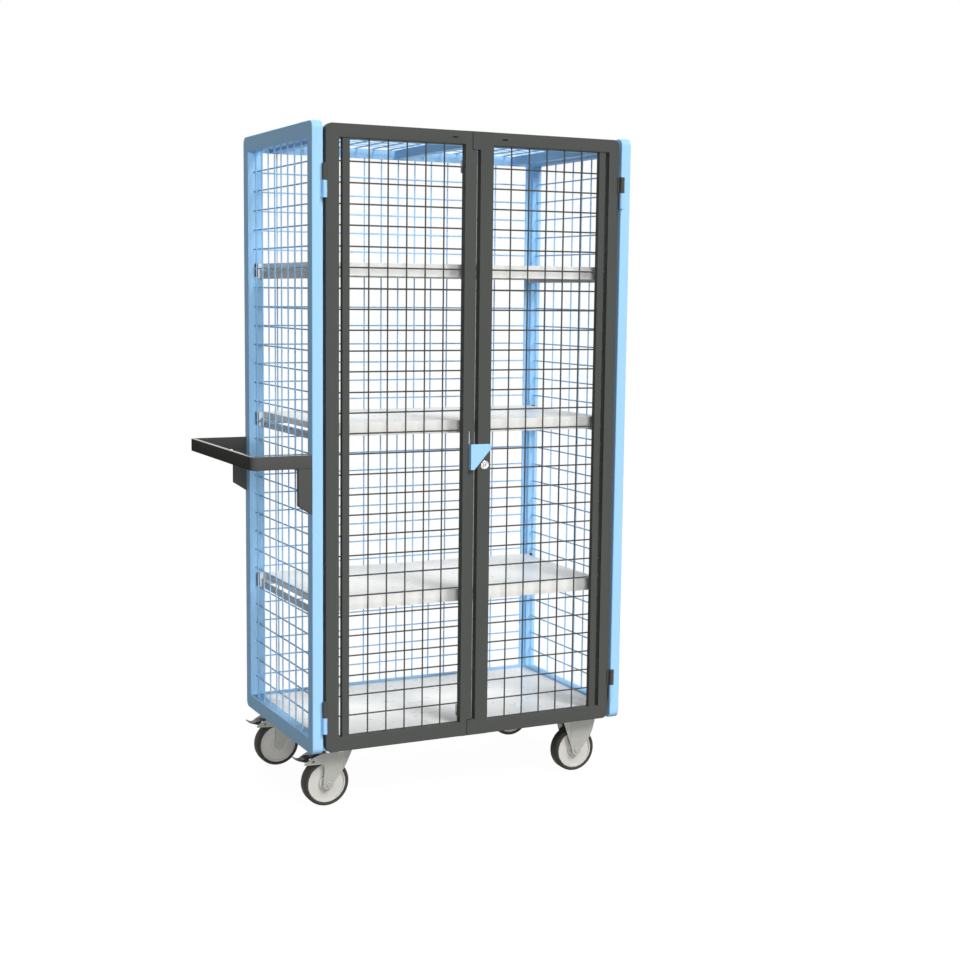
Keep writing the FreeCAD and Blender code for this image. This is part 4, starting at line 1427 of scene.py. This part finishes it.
def axle_bolt(x: float, y: float, radius: float = 5.0, head: float = 7.0, rise: float = 2.6) -> Shell:
    """Axle with a low round head outside each leg: a profile turned from pole to pole.

    Args:
        x: X of the axle.
        y: Y of the fork's middle.
        radius: radius of the shank.
        head: radius of a head.
        rise: height of a head.

    Returns:
        The axle's skin.
    """
    end = -FORK_HALF - rise
    half = rounded([(0.0, end + 1.0), (1.8, end + 1.0), (2.4, end), (head - 1.4, end), (head, end + 1.6),
                    (head, -FORK_HALF), (radius, -FORK_HALF), (radius, 0.0)],
                   [0, 0.2, 0.3, 1.0, 0.8, 0.1, 0.1, 0], 4, closed=False)
    profile = np.concatenate([half[:-1], half[::-1] * [1.0, -1.0]])
    return turned(profile, (x, y, AXLE_Z), segments=40, ring=False)


@dataclass
class SwivelCaster:
    """Swivel caster with a horned fork and a foot brake.

    Args:
        side: front or rear.
        y: Y of its middle.
        axle_x: X of the axle.
        pin_x: X of the pedal's pin.
        pin_z: height of the pedal's pin.
        pin_radius: radius of the pedal's pin.
        crown_z: heights of the crown's faces.
    """

    side: str
    y: float
    axle_x: float = 61.7
    pin_x: float = 20.0
    pin_z: float = 127.0
    pin_radius: float = 3.0
    crown_z: Span = (138.0, 146.0)

    def legs(self) -> list[Shell]:
        """Front and back leg: the horn's curved back, the throat under it and the flared rear edge.

        Returns:
            Both legs.
        """
        horn = rounded([(47.7, AXLE_Z), (52.0, 117.0), (-4.0, 119.6), (-4.0, 124.0), (18.0, 137.0),
                        (44.0, 146.0)], [0, 9, 1.5, 1.5, 60, 0], 10, closed=False)
        rear = rounded([(75.7, AXLE_Z), (109.0, 104.0), (130.5, 146.0)], [0, 160, 0], 14, closed=False)
        return fork_legs(horn, rear, self.axle_x, (-60.0, 102.0), (-66.0, 136.5), self.y)

    def crown(self) -> Shell:
        """Rounded plate between the legs that turns on the king pin.

        Returns:
            The plate's skin.
        """
        half = FORK_HALF - ForkLeg.sheet
        outline = rounded([(46.0, self.y - half), (100.0, self.y - half), (118.0, self.y - half + 4.0),
                           (118.0, self.y + half - 4.0), (100.0, self.y + half), (46.0, self.y + half)],
                          [3, 8, 6, 6, 8, 3], 5)
        return plate(outline, self.crown_z)

    def axle(self) -> Shell:
        """Axle with low round heads, and the pedal's pin.

        Returns:
            Both as one shell.
        """
        pin = np.array([[self.pin_x, self.y - FORK_HALF, self.pin_z]])
        bar = round_bars(pin, pin + [[0.0, 2 * FORK_HALF, 0.0]], self.pin_radius, 24)
        return axle_bolt(self.axle_x, self.y).joined(bar)

    def pedal(self) -> Shell:
        """Curved foot plate: a thin bent section carried across, wider at the tread, with its boss.

        Returns:
            The pedal's skin.
        """
        top = [(20.0, 132.6), (6.0, 133.6), (-8.0, 129.8), (-16.0, 132.0), (-24.0, 136.6), (-26.0, 134.8)]
        below = [(-17.0, 129.2), (-9.0, 126.4), (4.0, 122.0), (20.0, 121.4)]
        section = rounded(top + below, [1, 9, 12, 12, 1, 1, 10, 14, 9, 1], 5)
        across = np.array([-12.0, -11.2, -9.5, 9.5, 11.2, 12.0])
        shrink = np.array([0.955, 0.99, 1.0, 1.0, 0.99, 0.955])
        middle = section.mean(axis=0)
        loops = np.empty((len(across), len(section), 3))
        loops[:, :, [0, 2]] = middle + (section - middle)[None] * shrink[:, None, None]
        loops[:, :, 1] = self.y + across[:, None]
        boss = rounded([(3.05, -24.7), (6.0, -24.7), (6.0, 24.7), (3.05, 24.7)], [0.2, 0.8, 0.8, 0.2], 4)
        return carried(loops).joined(turned(boss, (self.pin_x, self.y, self.pin_z), segments=36))

    def spring(self) -> Shell:
        """Return spring: a circle carried along a helix round the pedal's boss.

        Returns:
            The spring's skin.
        """
        coils, coil, wire, steps, sides = 4, 7.2, 0.7, 96, 8
        turn = np.linspace(0.0, 2 * math.pi * coils, steps)
        along = np.linspace(14.0, 21.0, steps)
        out = np.stack([np.cos(turn), 0 * turn, np.sin(turn)], axis=1)
        centre = coil * out + np.stack([self.pin_x + 0 * turn, self.y - along, self.pin_z + 0 * turn], axis=1)
        angle = (np.arange(sides) * (2 * math.pi / sides))[None, :, None]
        circle = np.cos(angle) * out[:, None] + np.sin(angle) * np.array([0.0, 1.0, 0.0])
        return carried(centre[:, None] + wire * circle)

    def build(self) -> None:
        """Fork, bearing, axle, brake pedal and wheel."""
        body = f"{self.side}_caster"
        shell = join_shells(self.legs() + [self.crown()])
        fork = Workshop.piece(f"{body}_pressed_fork", shell, FORK_ZINC, body, [f"{body}_fork"],
                              smooth_deg=28.0)
        Workshop.soften(fork, width=0.5, least_deg=50.0)
        Workshop.copy(f"{body}_bearing", BOLT_ZINC, body, edge=0.5)
        Workshop.piece(f"{body}_axle_bolt", self.axle(), FORK_ZINC, body, [f"{body}_axle"])
        brake = f"{self.side}_brake"
        Workshop.piece(f"{brake}_foot_pedal", self.pedal(), PEDAL_BLACK, brake, [f"{brake}_pedal"])
        Workshop.piece(f"{brake}_spring", self.spring(), BOLT_ZINC, brake)
        Wheel(f"{self.side}_left", self.axle_x, self.y).build()


@dataclass
class FixedCasters:
    """The two casters that don't swivel, with their plates, and the swivel casters' top plates.

    Args:
        axle_x: X of the axles.
        plate_x: X between which the top plates lie.
        plate_half: half of a top plate's size along the depth.
        plate_z: heights of a top plate's faces.
        plate_corner: radius of its corners.
    """

    axle_x: float = 808.0
    plate_x: Span = (765.0, 865.0)
    plate_half: float = 42.5
    plate_z: Span = (156.0, 160.0)
    plate_corner: float = 6.0

    def legs(self, y: float) -> list[Shell]:
        """Front and back leg: both edges taper to the eye, with folds left and right of the flat.

        Args:
            y: Y of the fork's middle.

        Returns:
            Both legs.
        """
        front = rounded([(794.0, AXLE_Z), (780.0, 108.0), (765.0, 156.0)], [0, 200, 0], 10, closed=False)
        rear = rounded([(822.0, AXLE_Z), (855.0, 103.0), (872.0, 156.0)], [0, 120, 0], 14, closed=False)
        return fork_legs(front, rear, self.axle_x, (789.0, 851.0), (759.0, 878.0), y)

    def top_plate(self, y: float) -> Shell:
        """Plate with rounded corners that is bolted to the floor frame.

        Args:
            y: Y of the plate's middle.

        Returns:
            The plate's skin.
        """
        (left, right), low, high = self.plate_x, y - self.plate_half, y + self.plate_half
        outline = rounded([(left, low), (right, low), (right, high), (left, high)],
                          [self.plate_corner] * 4, 5)
        return plate(outline, self.plate_z)

    def build(self) -> None:
        """Forks with plates, axles, wheels, bolts and the swivel plates."""
        shells = [shell for y in CASTER_Y.values() for shell in self.legs(y) + [self.top_plate(y)]]
        forks = Workshop.piece("fixed_caster_pressed_forks", join_shells(shells), FORK_ZINC, "cage",
                               ["fixed_forks"], smooth_deg=28.0)
        Workshop.soften(forks, width=0.5, least_deg=50.0)
        axles = join_shells([axle_bolt(self.axle_x, y) for y in CASTER_Y.values()])
        Workshop.piece("fixed_caster_axle_bolts", axles, FORK_ZINC, "cage", ["fixed_axles"])
        Workshop.copy("swivel_plates", FORK_ZINC, "cage", edge=0.5)
        Workshop.copy("caster_bolts", BOLT_ZINC, "cage", edge=0.6)
        for side, y in CASTER_Y.items():
            Wheel(f"{side}_right", self.axle_x, y).build()


@dataclass
class Studio:
    """White studio: camera, lamps, soft surround and a pale floor.

    Args:
        place: camera's place in metres of the part's frame.
        azimuth_deg: how far the camera's view turns from the depth direction to the width direction.
        pitch_deg: how far it looks down.
        roll_deg: how far it is rolled.
        lens: focal length in millimetres.
        sensor: width of the camera's sensor in millimetres.
        clip: nearest and furthest distance that the camera sees, in metres.
        lamps: direction towards each lamp, its strength and its angle in degrees, by name.
        surround: level of the soft surround.
        floor_half: half of the floor's width in metres.
        floor_grey: how much light the floor throws back on the cart.
        floor_white: strength of its white where it is seen, and the share of that white.
    """

    place: Point = (-1.72052, -3.92566, 1.34202)
    azimuth_deg: float = 26.346
    pitch_deg: float = 6.847
    roll_deg: float = 0.659
    lens: float = 58.393
    sensor: float = 36.0
    clip: Span = (0.05, 200.0)
    lamps: dict[str, tuple[Point, float, float]] = field(
        default_factory=lambda: {"key_lamp": ((0.22, -0.70, 0.68), 2.65, 24.0),
                                 "low_lamp": ((-0.30, -0.945, 0.11), 1.6, 16.0),
                                 "back_lamp": ((0.0, 0.72, 0.69), 2.3, 30.0)})
    surround: float = 0.06
    floor_half: float = 60.0
    floor_grey: float = 0.1
    floor_white: Span = (1.5, 0.65)

    def camera(self) -> None:
        """Camera from its three angles: forward, right and down directions, then the roll about forward."""
        azimuth, pitch, roll = np.radians([self.azimuth_deg, self.pitch_deg, self.roll_deg])
        flat = np.array([math.sin(azimuth), math.cos(azimuth), 0.0])
        forward = flat * math.cos(pitch) - np.array([0.0, 0.0, math.sin(pitch)])
        right = np.array([flat[1], -flat[0], 0.0])
        down = np.cross(forward, right)
        rolled = math.cos(roll) * right - math.sin(roll) * down
        lower = math.sin(roll) * right + math.cos(roll) * down
        data = bpy.data.cameras.new("camera")
        data.lens, data.sensor_width = self.lens, self.sensor
        data.clip_start, data.clip_end = self.clip
        made = bpy.data.objects.new("camera", data)
        matrix = np.eye(4)
        matrix[:3, 0], matrix[:3, 1], matrix[:3, 2], matrix[:3, 3] = rolled, -lower, -forward, self.place
        made.matrix_world = Matrix(matrix.tolist())
        bpy.context.scene.collection.objects.link(made)
        bpy.context.scene.camera = made

    def light(self) -> None:
        """Soft key lamp from the front and above, a low one that reaches under the cart, one from behind."""
        for name, (towards, strength, angle_deg) in self.lamps.items():
            data = bpy.data.lights.new(name, "SUN")
            data.energy, data.angle = strength, math.radians(angle_deg)
            made = bpy.data.objects.new(name, data)
            made.rotation_mode = "QUATERNION"
            made.rotation_quaternion = Vector(towards).to_track_quat("Z", "Y")
            bpy.context.scene.collection.objects.link(made)

    @staticmethod
    def seen_directly(kit: NodeKit) -> bpy.types.NodeSocket:
        """1 for rays from the camera, from gloss and through glass, else 0.

        Args:
            kit: kit of the tree that asks.

        Returns:
            The value's socket.
        """
        path = kit.tree.nodes.new("ShaderNodeLightPath").outputs
        shown = kit.math("MAXIMUM", path["Is Camera Ray"], path["Is Glossy Ray"])
        return kit.math("MAXIMUM", shown, path["Is Transmission Ray"])

    def world(self) -> None:
        """White where it is seen, and a soft level where it only lights."""
        world = bpy.data.worlds.new("white_surround")
        world.use_nodes = True
        world.node_tree.nodes.clear()
        kit = NodeKit(world.node_tree)
        soft = kit.add("ShaderNodeBackground", Color=WHITE, Strength=self.surround)
        white = kit.add("ShaderNodeBackground", Color=WHITE, Strength=1.0)
        kit.show_mixed("ShaderNodeOutputWorld", self.seen_directly(kit), soft, white)
        bpy.context.scene.world = world

    def floor(self) -> None:
        """Wide pale floor that keeps a faint shadow."""
        half = self.floor_half
        mesh = bpy.data.meshes.new("studio_floor")
        mesh.from_pydata([(-half, -half, 0.0), (half, -half, 0.0), (half, half, 0.0), (-half, half, 0.0)], [],
                         [(0, 1, 2, 3)])
        material = bpy.data.materials.new("studio_floor")
        material.use_nodes = True
        material.node_tree.nodes.clear()
        kit = NodeKit(material.node_tree)
        strength, share = self.floor_white
        matt = kit.add("ShaderNodeBsdfDiffuse", Color=(*[self.floor_grey] * 3, 1.0))
        glow = kit.add("ShaderNodeEmission", Color=WHITE, Strength=strength)
        seen = kit.math("MULTIPLY", self.seen_directly(kit), share)
        kit.show_mixed("ShaderNodeOutputMaterial", seen, matt, glow)
        mesh.materials.append(material)
        made = bpy.data.objects.new("studio_floor", mesh)
        bpy.context.scene.collection.objects.link(made)

    def build(self) -> None:
        """Camera, lamps, surround and floor."""
        bpy.context.scene.view_settings.view_transform = "Standard"
        self.camera()
        self.light()
        self.world()
        self.floor()


def main() -> None:
    """Build the studio and every sub-assembly."""
    logging.basicConfig(level=logging.INFO, format="%(message)s")
    Studio().build()
    Cage().build()
    Shelves().build()
    PushHandle().build()
    Doors().build()
    for side, y in CASTER_Y.items():
        SwivelCaster(side, y).build()
    FixedCasters().build()


if __name__ == "__main__":
    main()
